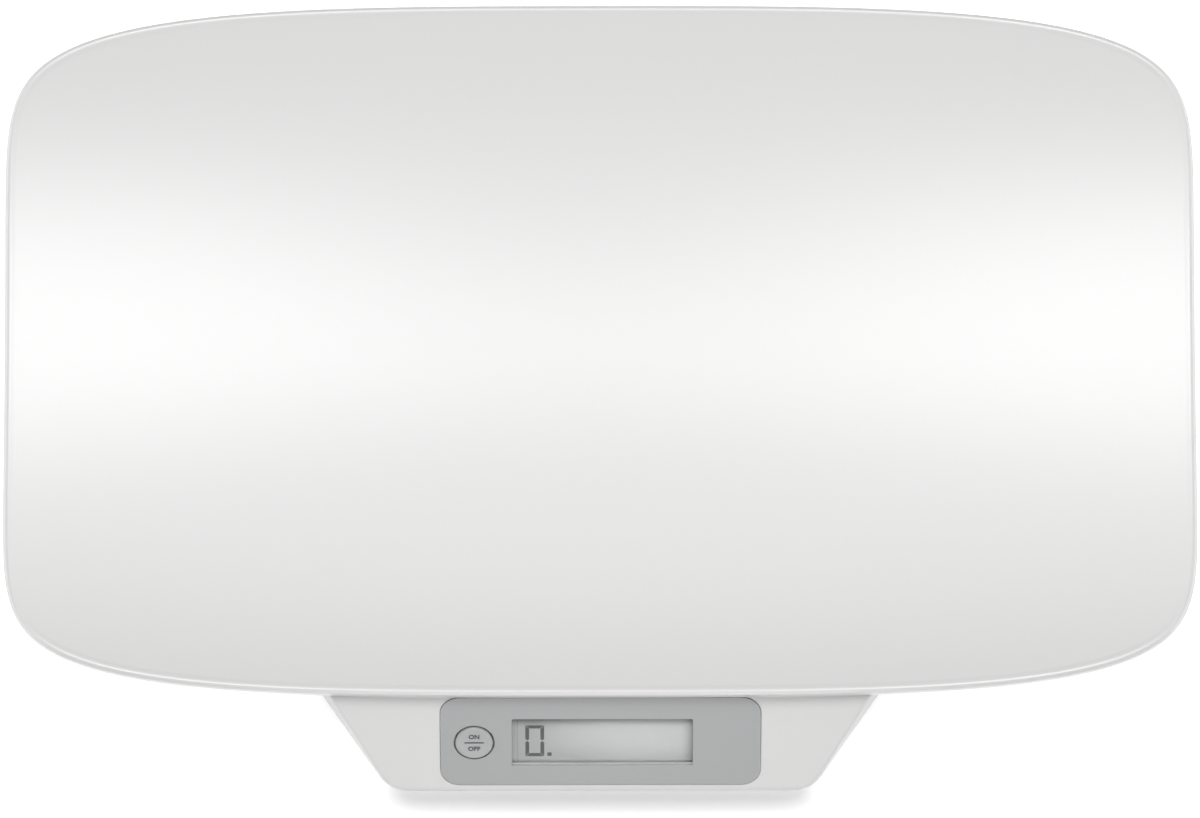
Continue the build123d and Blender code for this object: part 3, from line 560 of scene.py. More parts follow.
@dataclass(frozen=True)
class DisplayFinish(Finish):
    """Display glass with painted shade along the window's edges and a painted lighter patch;
    lengths are on the console's plane.
    """

    left: float = -40.7 * MM
    right: float = 42.3 * MM
    top: float = 10.4 * MM
    foot: float = -13.6 * MM

    def colour_source(self, graph: Graph) -> Socket:
        """Socket that gives the colour with its painted shade and painted lighter patch.

        Args:
            graph: the material's graph.

        Returns:
            The socket.
        """
        face = ConsoleFace()
        turn, origin = (math.radians(face.tilt), 0.0, 0.0), tuple(face.matrix().translation)
        place = graph.value("ShaderNodeTexCoord", "Object")
        inputs = {"Vector": place, "Location": origin, "Rotation": turn}
        mapped = graph.value("ShaderNodeMapping", 0, inputs, vector_type="TEXTURE")
        across, up, _ = graph.split(mapped)
        edges = {"Left": self.left, "Right": self.right, "Top": self.top, "Foot": self.foot}
        plain = super().colour_source(graph)
        # Painted shade along the edges and a painted lighter patch go on the plain colour here.
        painted_colour = effect(graph, Effect.SHADE, Colour=plain, Across=across, Up=up, **edges)
        return painted_colour.outputs["Colour"]


@dataclass(frozen=True)
class Clear(Surface):
    """Clear plastic that lets light through to what lies behind it."""

    roughness: float = 0.03
    spread: float = 0.04
    refraction: float = 1.46
    shadow: float = 0.06

    def make(self, name: str) -> Material:
        """Makes the material.

        Args:
            name: the material's name.

        Returns:
            The material.
        """
        made, graph, shader = new_material(name)
        wipes = object_noise(graph, 60.0, (0.3, 1.0, 1.0), 3.0)
        rough = wipes * self.spread + (self.roughness - self.spread / 2)
        graph.fill(shader.inputs["Roughness"], rough)
        shadow = graph.value("ShaderNodeLightPath", "Is Shadow Ray")
        graph.fill(shader.inputs["Alpha"], shadow * (self.shadow - 1) + 1)
        shader.inputs["IOR"].default_value = self.refraction
        shader.inputs["Transmission Weight"].default_value = 1.0
        return made


TRAY_WHITE = Finish(
    "tray_white",
    (0.78, 0.78, 0.775),
    roughness=0.285,
    relief=0.003 * MM,
    spread=0.012,
    tone=0.003,
    tone_scale=260.0,
    dust=0.004,
    specular=0.75,
)
BASE_WHITE = Finish(
    "base_white",
    (0.785, 0.785, 0.78),
    roughness=0.40,
    relief=0.006 * MM,
    spread=0.02,
    tone=0.004,
    tone_scale=260.0,
    dust=0.006,
)
PANEL_SILVER = Finish(
    "panel_silver",
    (0.400, 0.404, 0.408),
    roughness=0.48,
    metallic=0.22,
    texture=Texture.BRUSHED,
    scale=2600.0,
    relief=0.002 * MM,
    tone=0.012,
    dust=0.01,
)
BUTTON_SILVER = Finish(
    "button_silver",
    (0.412, 0.416, 0.420),
    roughness=0.42,
    metallic=0.22,
    texture=Texture.BRUSHED,
    scale=2600.0,
    relief=0.002 * MM,
    tone=0.012,
    dust=0.01,
)
LEGEND_INK = Finish("legend_ink", (0.055, 0.055, 0.058), 0.5, tone=0.05)
WINDOW_CLEAR = Clear("window_clear")
DISPLAY_GLASS = DisplayFinish("display_glass", (0.465, 0.48, 0.47), 0.31, spread=0.02, tone=0.01)
DISPLAY_INK = Finish("display_ink", (0.085, 0.09, 0.09), 0.35, tone=0.05)
FRAME_WHITE = Finish("frame_white", (0.70, 0.70, 0.69), 0.5)
SWITCH_BLACK = Finish("switch_black", (0.02, 0.02, 0.021), 0.45, tone=0.1)
BOARD_GREEN = Finish("board_green", (0.03, 0.16, 0.06), 0.35, tone=0.12, coat=0.3)
RESIN_BLACK = Finish("resin_black", (0.012, 0.012, 0.013), 0.33, tone=0.1)
STRIP_RUBBER = Finish("strip_rubber", (0.08, 0.08, 0.085), 0.7, relief=0.02 * MM)
PAD_RUBBER = Finish("pad_rubber", (0.035, 0.035, 0.037), 0.75, relief=0.03 * MM, dust=0.18)
CELL_STEEL = Finish("cell_steel", (0.50, 0.50, 0.51), 0.35, 1.0, Texture.BRUSHED, 1500.0)
SCREW_STEEL = Finish("screw_steel", (0.42, 0.42, 0.43), 0.32, 1.0, Texture.BRUSHED, 1800.0)
CONTACT_NICKEL = Finish("contact_nickel", (0.60, 0.58, 0.54), 0.32, 1.0, Texture.BRUSHED, 1600.0)
CAN_METAL = Finish("can_metal", (0.55, 0.55, 0.56), 0.34, 1.0, Texture.BRUSHED, 1200.0)
GAUGE_FILM = Finish("gauge_film", (0.45, 0.22, 0.05), 0.4, tone=0.08)
LEAD_SLEEVE = Finish("lead_sleeve", (0.30, 0.03, 0.03), 0.5, tone=0.08)
BATTERY_JACKET = Finish("battery_jacket", (0.035, 0.037, 0.042), 0.34, coat=0.4)


# ---- Meshes ----
def mesh_from(name: str, points: Iterable[Sequence[float]], faces: Iterable[Sequence[int]]) -> Mesh:
    """Makes a mesh from points and faces.

    Args:
        name: the mesh's name.
        points: its vertices.
        faces: vertex numbers of each face, anticlockwise from outside.

    Returns:
        The mesh.
    """
    mesh = bpy.data.meshes.new(name)
    mesh.from_pydata([tuple(point) for point in points], [], [tuple(face) for face in faces])
    mesh.update()
    return mesh


def loft(
    name: str, rings: Sequence[Sequence[Place]], closed: bool = True, capped: bool = True
) -> Mesh:
    """Joins rings of equal count by quads, with a face over the first and last ring.

    Args:
        name: the mesh's name.
        rings: rings of points, each anticlockwise seen from the last ring's side.
        closed: joins each ring's last point to its first.
        capped: puts a face on both ends, if the rings are closed.

    Returns:
        The mesh.
    """
    count = len(rings[0])
    points = [point for ring in rings for point in ring]
    faces = []
    for row in range(len(rings) - 1):
        for step in range(count if closed else count - 1):
            after = (step + 1) % count
            low, high = row * count, (row + 1) * count
            faces.append((low + step, low + after, high + after, high + step))
    if closed and capped:
        faces.append(tuple(reversed(range(count))))
        faces.append(tuple(range((len(rings) - 1) * count, len(rings) * count)))
    return mesh_from(name, points, faces)


def turned(name: str, profile: Sequence[Point], steps: int = 72) -> Mesh:
    """Turns a profile about Z.

    Args:
        name: the mesh's name.
        profile: radius and height of each point, from the bottom up.
        steps: sides round the axis.

    Returns:
        The closed mesh.
    """
    turns = [2 * math.pi * step / steps for step in range(steps)]
    return loft(name, [[(r * math.cos(t), r * math.sin(t), z) for t in turns] for r, z in profile])


def arc(centre: Point, radius: float, start: float, end: float, steps: int = 5) -> list[Point]:
    """Points on an arc, both ends among them; the angles are in degrees."""
    turns = [math.radians(start + (end - start) * step / steps) for step in range(steps + 1)]
    return [(centre[0] + radius * math.cos(t), centre[1] + radius * math.sin(t)) for t in turns]


def rounded(
    width: float, height: float, radius: float, x: float = 0.0, y: float = 0.0
) -> list[Point]:
    """Loop of a rectangle with rounded corners.

    Args:
        width: its size along X.
        height: its size along Y.
        radius: the corners' radius.
        x: its middle's place.
        y: its middle's place.

    Returns:
        The loop, anticlockwise.
    """
    loop = []
    for turn, (side_x, side_y) in zip((0, 90, 180, 270), ((1, 1), (-1, 1), (-1, -1), (1, -1))):
        centre = (x + side_x * (width / 2 - radius), y + side_y * (height / 2 - radius))
        loop += arc(centre, radius, turn, turn + 90, 10)
    return loop


def circle(radius: float, x: float = 0.0, y: float = 0.0, steps: int = 72) -> list[Point]:
    """Loop of a circle."""
    return arc((x, y), radius, 0, 360, steps)[:-1]


def plate(
    name: str, loops: Sequence[Sequence[Point]], low: float, high: float, edge: float = 0.0
) -> Mesh:
    """Flat plate between two heights, with its loops' edges rounded.

    Args:
        name: the mesh's name.
        loops: the outline and any holes.
        low: height of the back.
        high: height of the front.
        edge: radius of the rounding.

    Returns:
        The mesh.
    """
    curve = bpy.data.curves.new(name, "CURVE")
    curve.dimensions, curve.fill_mode = "2D", "BOTH"
    curve.extrude = (high - low) / 2 - edge
    curve.bevel_depth, curve.bevel_resolution, curve.offset = edge, 3, -edge
    for loop in loops:
        spline = curve.splines.new("POLY")
        spline.points.add(len(loop) - 1)
        for point, (x, y) in zip(spline.points, loop):
            point.co = (x, y, 0.0, 1.0)
        spline.use_cyclic_u = True
    mesh = curve_mesh(curve, name)
    mesh.transform(Matrix.Translation((0, 0, (low + high) / 2)))
    return mesh


def curve_mesh(curve: bpy.types.Curve, name: str) -> Mesh:
    """Turns a curve or text into a merged mesh.

    Args:
        curve: the curve, of which the object is removed again.
        name: the mesh's name.

    Returns:
        The mesh.
    """
    holder = bpy.data.objects.new(name, curve)
    bpy.context.scene.collection.objects.link(holder)
    graph = bpy.context.evaluated_depsgraph_get()
    mesh = bpy.data.meshes.new_from_object(holder.evaluated_get(graph))
    mesh.name = name
    bpy.data.objects.remove(holder)
    return tidy(mesh)


def tidy(mesh: Mesh, gap: float = 1e-6, fill: bool = False) -> Mesh:
    """Merges doubles and turns the faces outward, in place.

    Args:
        mesh: the mesh.
        gap: distance under which points are one.
        fill: puts a face on open ends.

    Returns:
        The same mesh.
    """
    work = bmesh.new()
    work.from_mesh(mesh)
    bmesh.ops.remove_doubles(work, verts=work.verts, dist=gap)
    if fill:
        bmesh.ops.holes_fill(work, edges=[edge for edge in work.edges if edge.is_boundary])
    bmesh.ops.recalc_face_normals(work, faces=work.faces)
    work.to_mesh(mesh)
    work.free()
    return mesh


def joined(name: str, meshes: Sequence[Mesh]) -> Mesh:
    """Puts several meshes into one.

    Args:
        name: the new mesh's name.
        meshes: what goes into it.

    Returns:
        The new mesh.
    """
    work = bmesh.new()
    for mesh in meshes:
        work.from_mesh(mesh)
    made = bpy.data.meshes.new(name)
    work.to_mesh(made)
    work.free()
    return made


def moved(mesh: Mesh, matrix: Matrix) -> Mesh:
    """Copies a mesh under a transform.

    Args:
        mesh: the mesh, which stays as it is.
        matrix: the transform.

    Returns:
        The copy.
    """
    made = mesh.copy()
    made.transform(matrix)
    return made


def evaluated(mesh: Mesh, dress: Callable[[Object], None]) -> Mesh:
    """Runs modifiers on a mesh and returns the plain result.

    Args:
        mesh: the base mesh.
        dress: adds modifiers to the object that holds it.

    Returns:
        The evaluated mesh, with no modifier left.
    """
    holder = bpy.data.objects.new(mesh.name, mesh)
    bpy.context.scene.collection.objects.link(holder)
    dress(holder)
    graph = bpy.context.evaluated_depsgraph_get()
    made = bpy.data.meshes.new_from_object(holder.evaluated_get(graph))
    bpy.data.objects.remove(holder)
    return made


def soften(mesh: Mesh, angle: float = 32.0) -> Mesh:
    """Shades a mesh smooth, and leaves flat faces flat.

    Args:
        mesh: the mesh.
        angle: degrees past which an edge stays sharp.

    Returns:
        The shaded mesh.
    """
    mesh.shade_smooth()
    mesh.set_sharp_from_angle(angle=math.radians(angle))

    def dress(holder: Object) -> None:
        """Weighs each corner's normal by the size of its faces."""
        modifier = holder.modifiers.new("normals", "WEIGHTED_NORMAL")
        modifier.keep_sharp = True

    return evaluated(mesh, dress)


def cut(mesh: Mesh, cutter: Mesh) -> Mesh:
    """Cuts one closed mesh out of another.

    Args:
        mesh: what is cut.
        cutter: what is taken away.

    Returns:
        The result.
    """
    tool = bpy.data.objects.new("cutter", cutter)
    bpy.context.scene.collection.objects.link(tool)

    def dress(holder: Object) -> None:
        """Adds the exact Boolean."""
        modifier = holder.modifiers.new("cut", "BOOLEAN")
        modifier.operation, modifier.solver, modifier.object = "DIFFERENCE", "EXACT", tool

    made = evaluated(mesh, dress)
    bpy.data.objects.remove(tool)
    return made


def bevelled(mesh: Mesh, width: float, angle: float = 40.0, steps: int = 2) -> Mesh:
    """Rounds a mesh's sharp edges.

    Args:
        mesh: the mesh.
        width: the rounding's width.
        angle: degrees past which an edge is rounded.
        steps: faces across the rounding.

    Returns:
        The rounded mesh.
    """

    def dress(holder: Object) -> None:
        """Adds the Bevel.

        Args:
            holder: the object that carries the modifier.
        """
        modifier = holder.modifiers.new("edges", "BEVEL")
        modifier.width, modifier.segments = width, steps
        modifier.limit_method, modifier.angle_limit = "ANGLE", math.radians(angle)
        modifier.use_clamp_overlap = True

    return evaluated(mesh, dress)


def node_copy(node: str) -> Mesh:
    """Merged copy of a CAD node's mesh."""
    return tidy(bpy.data.objects[node].data.copy(), 2e-6)


def add_piece(
    name: str, mesh: Mesh, finish: Surface, body: str, nodes: Sequence[str] = ()
) -> Object:
    """Puts a piece in the scene on its CAD body.

    Args:
        name: the piece's name.
        mesh: its mesh, already in place.
        finish: its finish.
        body: the CAD body that it rides on.
        nodes: CAD nodes that it stands for.

    Returns:
        The piece's object.
    """
    mesh.name = name
    mesh.materials.clear()
    mesh.materials.append(finish.material())
    piece = bpy.data.objects.new(name, mesh)
    bpy.context.scene.collection.objects.link(piece)
    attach(piece, body)
    if nodes:
        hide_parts(*nodes)
    triangles = sum(len(face.vertices) - 2 for face in mesh.polygons)
    log.info("%s: %d triangles on %s, for %s", name, triangles, body, list(nodes) or "itself")
    return piece


# ---- Geometry Nodes ----
def run_tree(graph: Graph, base: Mesh, **sizes: object) -> Mesh:
    """Runs a geometry tree on a base mesh.

    Args:
        graph: the tree, with its inputs named.
        base: the mesh that it starts from.
        sizes: values of the named inputs, with spaces written as underscores.

    Returns:
        The plain mesh.
    """
    named = {item.name: item.identifier for item in graph.tree.interface.items_tree}

    def dress(holder: Object) -> None:
        """Adds the tree and sets its inputs by identifier.

        Args:
            holder: the object that carries the modifier.
        """
        modifier = holder.modifiers.new("tree", "NODES")
        modifier.node_group = graph.tree
        for name, value in sizes.items():
            modifier[named[name.replace("_", " ").capitalize()]] = value

    return evaluated(base, dress)


def end_tree(graph: Graph, geometry: Socket) -> None:
    """Ends a geometry tree in Realize Instances and Set Material.

    Args:
        graph: the tree.
        geometry: what it has made.
    """
    plain = graph.node("GeometryNodeRealizeInstances", {"Geometry": geometry})
    dressed = graph.node(
        "GeometryNodeSetMaterial",
        {"Geometry": plain.outputs[0], "Material": group_inputs(graph)["Material"]},
    )
    group_outputs(graph, Geometry=dressed.outputs[0])


def outline_fields(sizes: dict[str, Value], turn: Value, inset: Value) -> tuple[Value, Value]:
    """Point on the super-elliptic outline, moved in along its normal.

    Args:
        sizes: the tree's inputs, with the outline's half sizes and powers.
        turn: angle that runs once round the outline.
        inset: distance in from it.

    Returns:
        The point's X and Y.
    """
    half_x, half_y = sizes["Half length"], sizes["Half depth"]
    power_x, power_y = sizes["End power"], sizes["Side power"]
    along, across = turn.math("COSINE"), turn.math("SINE")
    total = along.size() ** power_x + across.size() ** power_y
    share_x = along / (total ** (power_x ** -1.0))
    share_y = across / (total ** (power_y ** -1.0))
    slope_x = power_x * share_x.sign() * share_x.size() ** (power_x - 1) / half_x
    slope_y = power_y * share_y.sign() * share_y.size() ** (power_y - 1) / half_y
    reach = (slope_x * slope_x + slope_y * slope_y).root()
    x = share_x * half_x - slope_x / reach * inset
    y = share_y * half_y - slope_y / reach * inset
    return x, y


def trough_field(sizes: dict[str, Value], y: Value, above: object) -> Value:
    """Height of a surface that lies a distance above the trough.

    Args:
        sizes: the tree's inputs, with the trough's radius and low line.
        y: place across the tray, from its middle.
        above: distance above the trough's surface.

    Returns:
        The height above the table.
    """
    radius = sizes["Trough radius"]
    inner = radius - above
    return sizes["Low line"] + radius - (inner * inner - y * y).root()


SHEET_INPUTS = {
    "Geometry": "NodeSocketGeometry",
    "Half length": 0.275,
    "Half depth": 0.161,
    "End power": 3.4,
    "Side power": 9.1,
    "Trough radius": 0.515,
    "Low line": 0.04,
    "Middle y": 0.0,
    "Material": "NodeSocketMaterial",
}


def section_point(graph: Graph, section: Value, ring: Value) -> Value:
    """Position of one point of the base mesh.

    Args:
        graph: the tree.
        section: the base mesh.
        ring: the point's index.

    Returns:
        The position.
    """
    place = graph.value("GeometryNodeInputPosition")
    fed = {"Geometry": section, "Value": place, "Index": ring}
    kind = {"data_type": "FLOAT_VECTOR", "domain": "POINT", "clamp": True}
    return graph.value("GeometryNodeSampleIndex", 0, fed, **kind)


def strip_grid(graph: Graph, section: Value, across: Value) -> tuple[Socket, Value, Value]:
    """Grid with one row of points for each point of the section.

    Args:
        graph: the tree.
        section: the base mesh, a chain of points.
        across: columns of the grid, less one.

    Returns:
        The grid's geometry, the column's number and the section's point at each vertex.
    """
    size = graph.node("GeometryNodeAttributeDomainSize", {"Geometry": section}, component="MESH")
    count = Value(graph, size.outputs["Point Count"])
    grid = graph.node(
        "GeometryNodeMeshGrid",
        {"Size X": 1.0, "Size Y": 1.0, "Vertices X": across + 1, "Vertices Y": count},
    )
    index = graph.value("GeometryNodeInputIndex")
    column = ((index + 0.5) / count).math("FLOOR")
    ring = index - column * count
    return grid.outputs["Mesh"], column, section_point(graph, section, ring)


def placed(graph: Graph, geometry: Socket, x: Value, y: Value, z: Value) -> Socket:
    """Sets every vertex's position.

    Args:
        graph: the tree.
        geometry: what is placed.
        x: the vertices' places along X.
        y: the vertices' places along Y.
        z: the vertices' places along Z.

    Returns:
        The placed geometry.
    """
    point = graph.value("ShaderNodeCombineXYZ", inputs={0: x, 1: y, 2: z})
    made = graph.node("GeometryNodeSetPosition", {"Geometry": geometry, "Position": point})
    return made.outputs[0]


def pick(graph: Graph, choice: Value, yes: Value, no: Value) -> Value:
    """One of two numbers, by a switch."""
    fed = {"Switch": choice, "False": no, "True": yes}
    return graph.value("GeometryNodeSwitch", 0, fed, input_type="FLOAT")


def sheet_tree() -> Graph:
    """Builds the tree that sweeps a section round the tray's outline.

    The base mesh is the section: X is the inset from the outline, Y the height above the trough,
    and Z the share of the way out from the tray's middle.

    Returns:
        The tree's graph.
    """
    inputs = {**SHEET_INPUTS, "Around": 480}
    graph = group_tree(
        "tray_sheet", "GeometryNodeTree", inputs, {"Geometry": "NodeSocketGeometry"}
    )
    sizes = group_inputs(graph)
    grid, column, station = strip_grid(graph, sizes["Geometry"], sizes["Around"])
    inset, above, share = graph.split(station)
    turn = column / sizes["Around"] * (2 * math.pi)
    x, y = outline_fields(sizes, turn, inset)
    x, y = x * share, y * share
    shaped = placed(graph, grid, x, y + sizes["Middle y"], trough_field(sizes, y, above))
    closed = graph.node("GeometryNodeMergeByDistance", {"Geometry": shaped, "Distance": 1e-5})
    end_tree(graph, closed.outputs[0])
    return graph


def rib_tree() -> Graph:
    """Builds the tree for rows of ribs, each as long as the tray's outline lets it be.

    The base mesh is a rib's section: X is across the rib and Y its height above the trough.

    Returns:
        The tree's graph.
    """
    inputs = {**SHEET_INPUTS, "Count": 3, "Pitch": 0.07, "Steps": 48, "Lengthwise": True}
    graph = group_tree("tray_ribs", "GeometryNodeTree", inputs, {"Geometry": "NodeSocketGeometry"})
    sizes = group_inputs(graph)
    grid, column, station = strip_grid(graph, sizes["Geometry"], sizes["Steps"])
    across, above, _ = graph.split(station)
    share = column / sizes["Steps"] * 2 - 1
    strip = placed(graph, grid, share, across, above)
    first = (sizes["Count"] - 1) * sizes["Pitch"] * -0.5
    row = graph.node(
        "GeometryNodeMeshLine",
        {
            "Count": sizes["Count"],
            "Start Location": graph.value("ShaderNodeCombineXYZ", inputs={1: first}),
            "Offset": graph.value("ShaderNodeCombineXYZ", inputs={1: sizes["Pitch"]}),
        },
    )
    rows = graph.node("GeometryNodeInstanceOnPoints", {"Points": row.outputs[0], "Instance": strip})
    real = graph.node("GeometryNodeRealizeInstances", {"Geometry": rows.outputs[0]})
    along, place, above = graph.split(graph.value("GeometryNodeInputPosition"))
    half_x, half_y = sizes["Half length"], sizes["Half depth"]
    power_x, power_y = sizes["End power"], sizes["Side power"]
    long_reach = ((place / half_y).size() ** power_y * -1 + 1) ** (power_x ** -1.0) * half_x
    cross_reach = ((place / half_x).size() ** power_x * -1 + 1) ** (power_y ** -1.0) * half_y
    x = pick(graph, sizes["Lengthwise"], along * long_reach, place)
    y = pick(graph, sizes["Lengthwise"], place, along * cross_reach)
    height = trough_field(sizes, y, above)
    end_tree(graph, placed(graph, real.outputs[0], x, y + sizes["Middle y"], height))
    return graph


def places_tree() -> Graph:
    """Builds the tree that sets one item at each point of the base mesh.

    Returns:
        The tree's graph.
    """
    inputs = {
        "Geometry": "NodeSocketGeometry",
        "Item": "NodeSocketObject",
        "Material": "NodeSocketMaterial",
    }
    graph = group_tree(
        "items_at_places", "GeometryNodeTree", inputs, {"Geometry": "NodeSocketGeometry"}
    )
    sizes = group_inputs(graph)
    item = graph.node("GeometryNodeObjectInfo", {"Object": sizes["Item"]})
    rows = graph.node(
        "GeometryNodeInstanceOnPoints",
        {"Points": sizes["Geometry"], "Instance": item.outputs["Geometry"]},
    )
    end_tree(graph, rows.outputs[0])
    return graph


def at_places(item: Mesh, places: Sequence[Place], finish: Surface) -> Mesh:
    """Sets one item at several places.

    Args:
        item: the item's mesh.
        places: where it goes.
        finish: its finish.

    Returns:
        One mesh with all of them.
    """
    tree = bpy.data.node_groups.get("items_at_places")
    graph = Graph(tree) if tree else places_tree()
    holder = bpy.data.objects.new("item", item)
    bpy.context.scene.collection.objects.link(holder)
    base = mesh_from("places", places, [])
    made = run_tree(graph, base, item=holder, material=finish.material())
    bpy.data.objects.remove(holder)
    return made


# ---- Tray ----
@dataclass(frozen=True)
class Trough:
    """The drum surface that the tray, its rim and the base follow, and the tray's outline."""

    half_length: float = 275.0 * MM
    half_depth: float = 161.0 * MM
    end_power: float = 3.4
    side_power: float = 9.1
    low_line: float = 40.0 * MM
    drop: float = 24.5 * MM
    lip_width: float = 4.0 * MM
    middle_y: float = 18.7 * MM

    @property
    def radius(self) -> float:
        """Radius of the drum."""
        crease = self.half_depth - self.lip_width
        return (crease**2 + self.drop**2) / (2 * self.drop)

    def height(self, y: float, above: float = 0.0) -> float:
        """Height of a surface that lies a distance above the trough.

        Args:
            y: place across the tray, in the frame.
            above: distance above the trough's surface.

        Returns:
            The height above the table.
        """
        away = y - self.middle_y
        return self.low_line + self.radius - math.sqrt((self.radius - above) ** 2 - away**2)

    def tree_sizes(self) -> dict[str, object]:
        """Values of the inputs that the tray's trees share.

        Returns:
            The values by input name.
        """
        return {
            "half_length": self.half_length,
            "half_depth": self.half_depth,
            "end_power": self.end_power,
            "side_power": self.side_power,
            "trough_radius": self.radius,
            "low_line": self.low_line,
            "middle_y": self.middle_y,
            "material": TRAY_WHITE.material(),
        }


@dataclass(frozen=True)
class RibRow:
    """Even ribs side by side under the tray."""

    lengthwise: bool
    count: int
    pitch: float


@dataclass
class Tray:
    """Curved sheet with a soft lip, a skirt, ribs and screw bosses."""

    trough: Trough
    wall: float = 3.0 * MM
    lip_rise: float = 0.08 * MM
    lip_round: float = 2.6 * MM
    rise_width: float = 2.0 * MM
    rise_steps: int = 8
    shelf: float = 12.0 * MM  # from the outline in to where the rings turn even
    shelf_rings: Point = (9.0 * MM, 7.0 * MM)
    inner_rings: int = 30
    ring_bunching: float = 0.8
    around: int = 480
    skirt: float = 8.0 * MM
    skirt_wall: float = 2.2 * MM
    skirt_edge: float = 0.4 * MM
    skirt_root: float = 1.0 * MM
    skirt_row: float = 0.6  # height of a ring on the skirt, as a share of it
    rib_wall: float = 2.0 * MM
    rib_height: float = 3.2 * MM
    rib_edge: float = 0.5 * MM
    rib_overlap: float = 0.3 * MM
    rib_rows: tuple[RibRow, ...] = (RibRow(True, 3, 76.0 * MM), RibRow(False, 7, 66.0 * MM))
    boss_radius: float = 6.0 * MM
    boss_edge: float = 0.4 * MM
    boss_overlap: float = 0.5 * MM
    boss_foot: float = 35.54 * MM
    screw_reach: Point = (90.0 * MM, 60.0 * MM)

    def rim_section(self) -> list[Point]:
        """Inset and height of the points from the shelf over the lip and round the skirt.

        Returns:
            The points from the top's shelf to the one below.
        """
        rise, bend, slope = self.lip_rise, self.lip_round, self.rise_width
        edge, root, foot = self.skirt_edge, self.skirt_root, self.lip_rise - self.skirt
        crease = self.trough.lip_width + slope / 2
        climbs = [step / self.rise_steps for step in range(self.rise_steps + 1)]
        rim = [(inset, 0.0) for inset in (self.shelf, *self.shelf_rings)]
        rim += [(crease - climb * slope, rise * climb**2 * (3 - 2 * climb)) for climb in climbs]
        rim += arc((bend, rise - bend), bend, 90, 180, 10)
        rim += [(0.0, foot * self.skirt_row)]
        rim += arc((edge, foot + edge), edge, 180, 270, 3)
        rim += arc((self.skirt_wall - edge, foot + edge), edge, 270, 360, 3)
        rim += arc((self.skirt_wall + root, -self.wall - root), root, 180, 90, 4)
        return [*rim, (self.shelf, -self.wall)]

    def section(self) -> list[Place]:
        """The sheet's section from the middle of its top round the rim to the middle below.

        Returns:
            Inset, height and share of the way out of each point.
        """
        rings = self.inner_rings
        shares = [(step / rings) ** self.ring_bunching for step in range(rings)]
        top = [(self.shelf, 0.0, share) for share in shares]
        below = [(self.shelf, -self.wall, share) for share in reversed(shares)]
        return top + [(inset, above, 1.0) for inset, above in self.rim_section()] + below

    def build_sheet(self) -> Mesh:
        """Sweeps the section round the outline."""
        base = mesh_from("section", self.section(), [])
        mesh = run_tree(sheet_tree(), base, around=self.around, **self.trough.tree_sizes())
        return soften(tidy(mesh), angle=50)

    def build_ribs(self) -> Mesh:
        """Makes the ribs that run along and across the underside.

        Returns:
            The ribs, as one mesh.
        """
        half, foot, edge = self.rib_wall / 2, -self.wall - self.rib_height, self.rib_edge
        section = [(-half, -self.wall + edge, 0.0)]
        for centre, start in ((-half + edge, 180), (half - edge, 270)):
            bend = arc((centre, foot + edge), edge, start, start + 90, 3)
            section += [(x, z, 0.0) for x, z in bend]
        section += [(half, -self.wall + edge, 0.0), section[0]]
        sizes = self.trough.tree_sizes()
        for side in ("half_length", "half_depth"):
            sizes[side] -= self.skirt_wall - self.rib_overlap
        graph = rib_tree()
        made = [
            run_tree(graph, mesh_from("rib", section, []), **vars(row), **sizes)
            for row in self.rib_rows
        ]
        return soften(tidy(joined("ribs", made), fill=True), angle=50)

    def build_bosses(self) -> Mesh:
        """Makes the four bosses that stand on the base.

        Returns:
            The bosses, as one mesh.
        """
        (reach_x, reach_y), middle = self.screw_reach, self.trough.middle_y
        radius, edge = self.boss_radius, self.boss_edge
        top = self.trough.height(middle + reach_y + radius, -self.wall)
        inner = self.trough.height(middle + reach_y - radius, -self.wall)
        height = inner + self.boss_overlap - self.boss_foot
        profile = [(AXIS, 0.0), *arc((radius - edge, edge), edge, 270, 360, 3)]
        profile += [(radius, height), (radius + (top - inner), height + (top - inner))]
        item = turned("boss", profile, 48)
        places = [
            (side_x * reach_x, middle + side_y * reach_y, self.boss_foot)
            for side_x in (-1, 1)
            for side_y in (-1, 1)
        ]
        return soften(at_places(item, places, TRAY_WHITE), angle=50)

    def build(self) -> None:
        """Builds the tray's pieces."""
        add_piece("tray_sheet", self.build_sheet(), TRAY_WHITE, "scale", ["tray"])
        add_piece("tray_ribs", self.build_ribs(), TRAY_WHITE, "scale")
        add_piece("tray_bosses", self.build_bosses(), TRAY_WHITE, "scale")


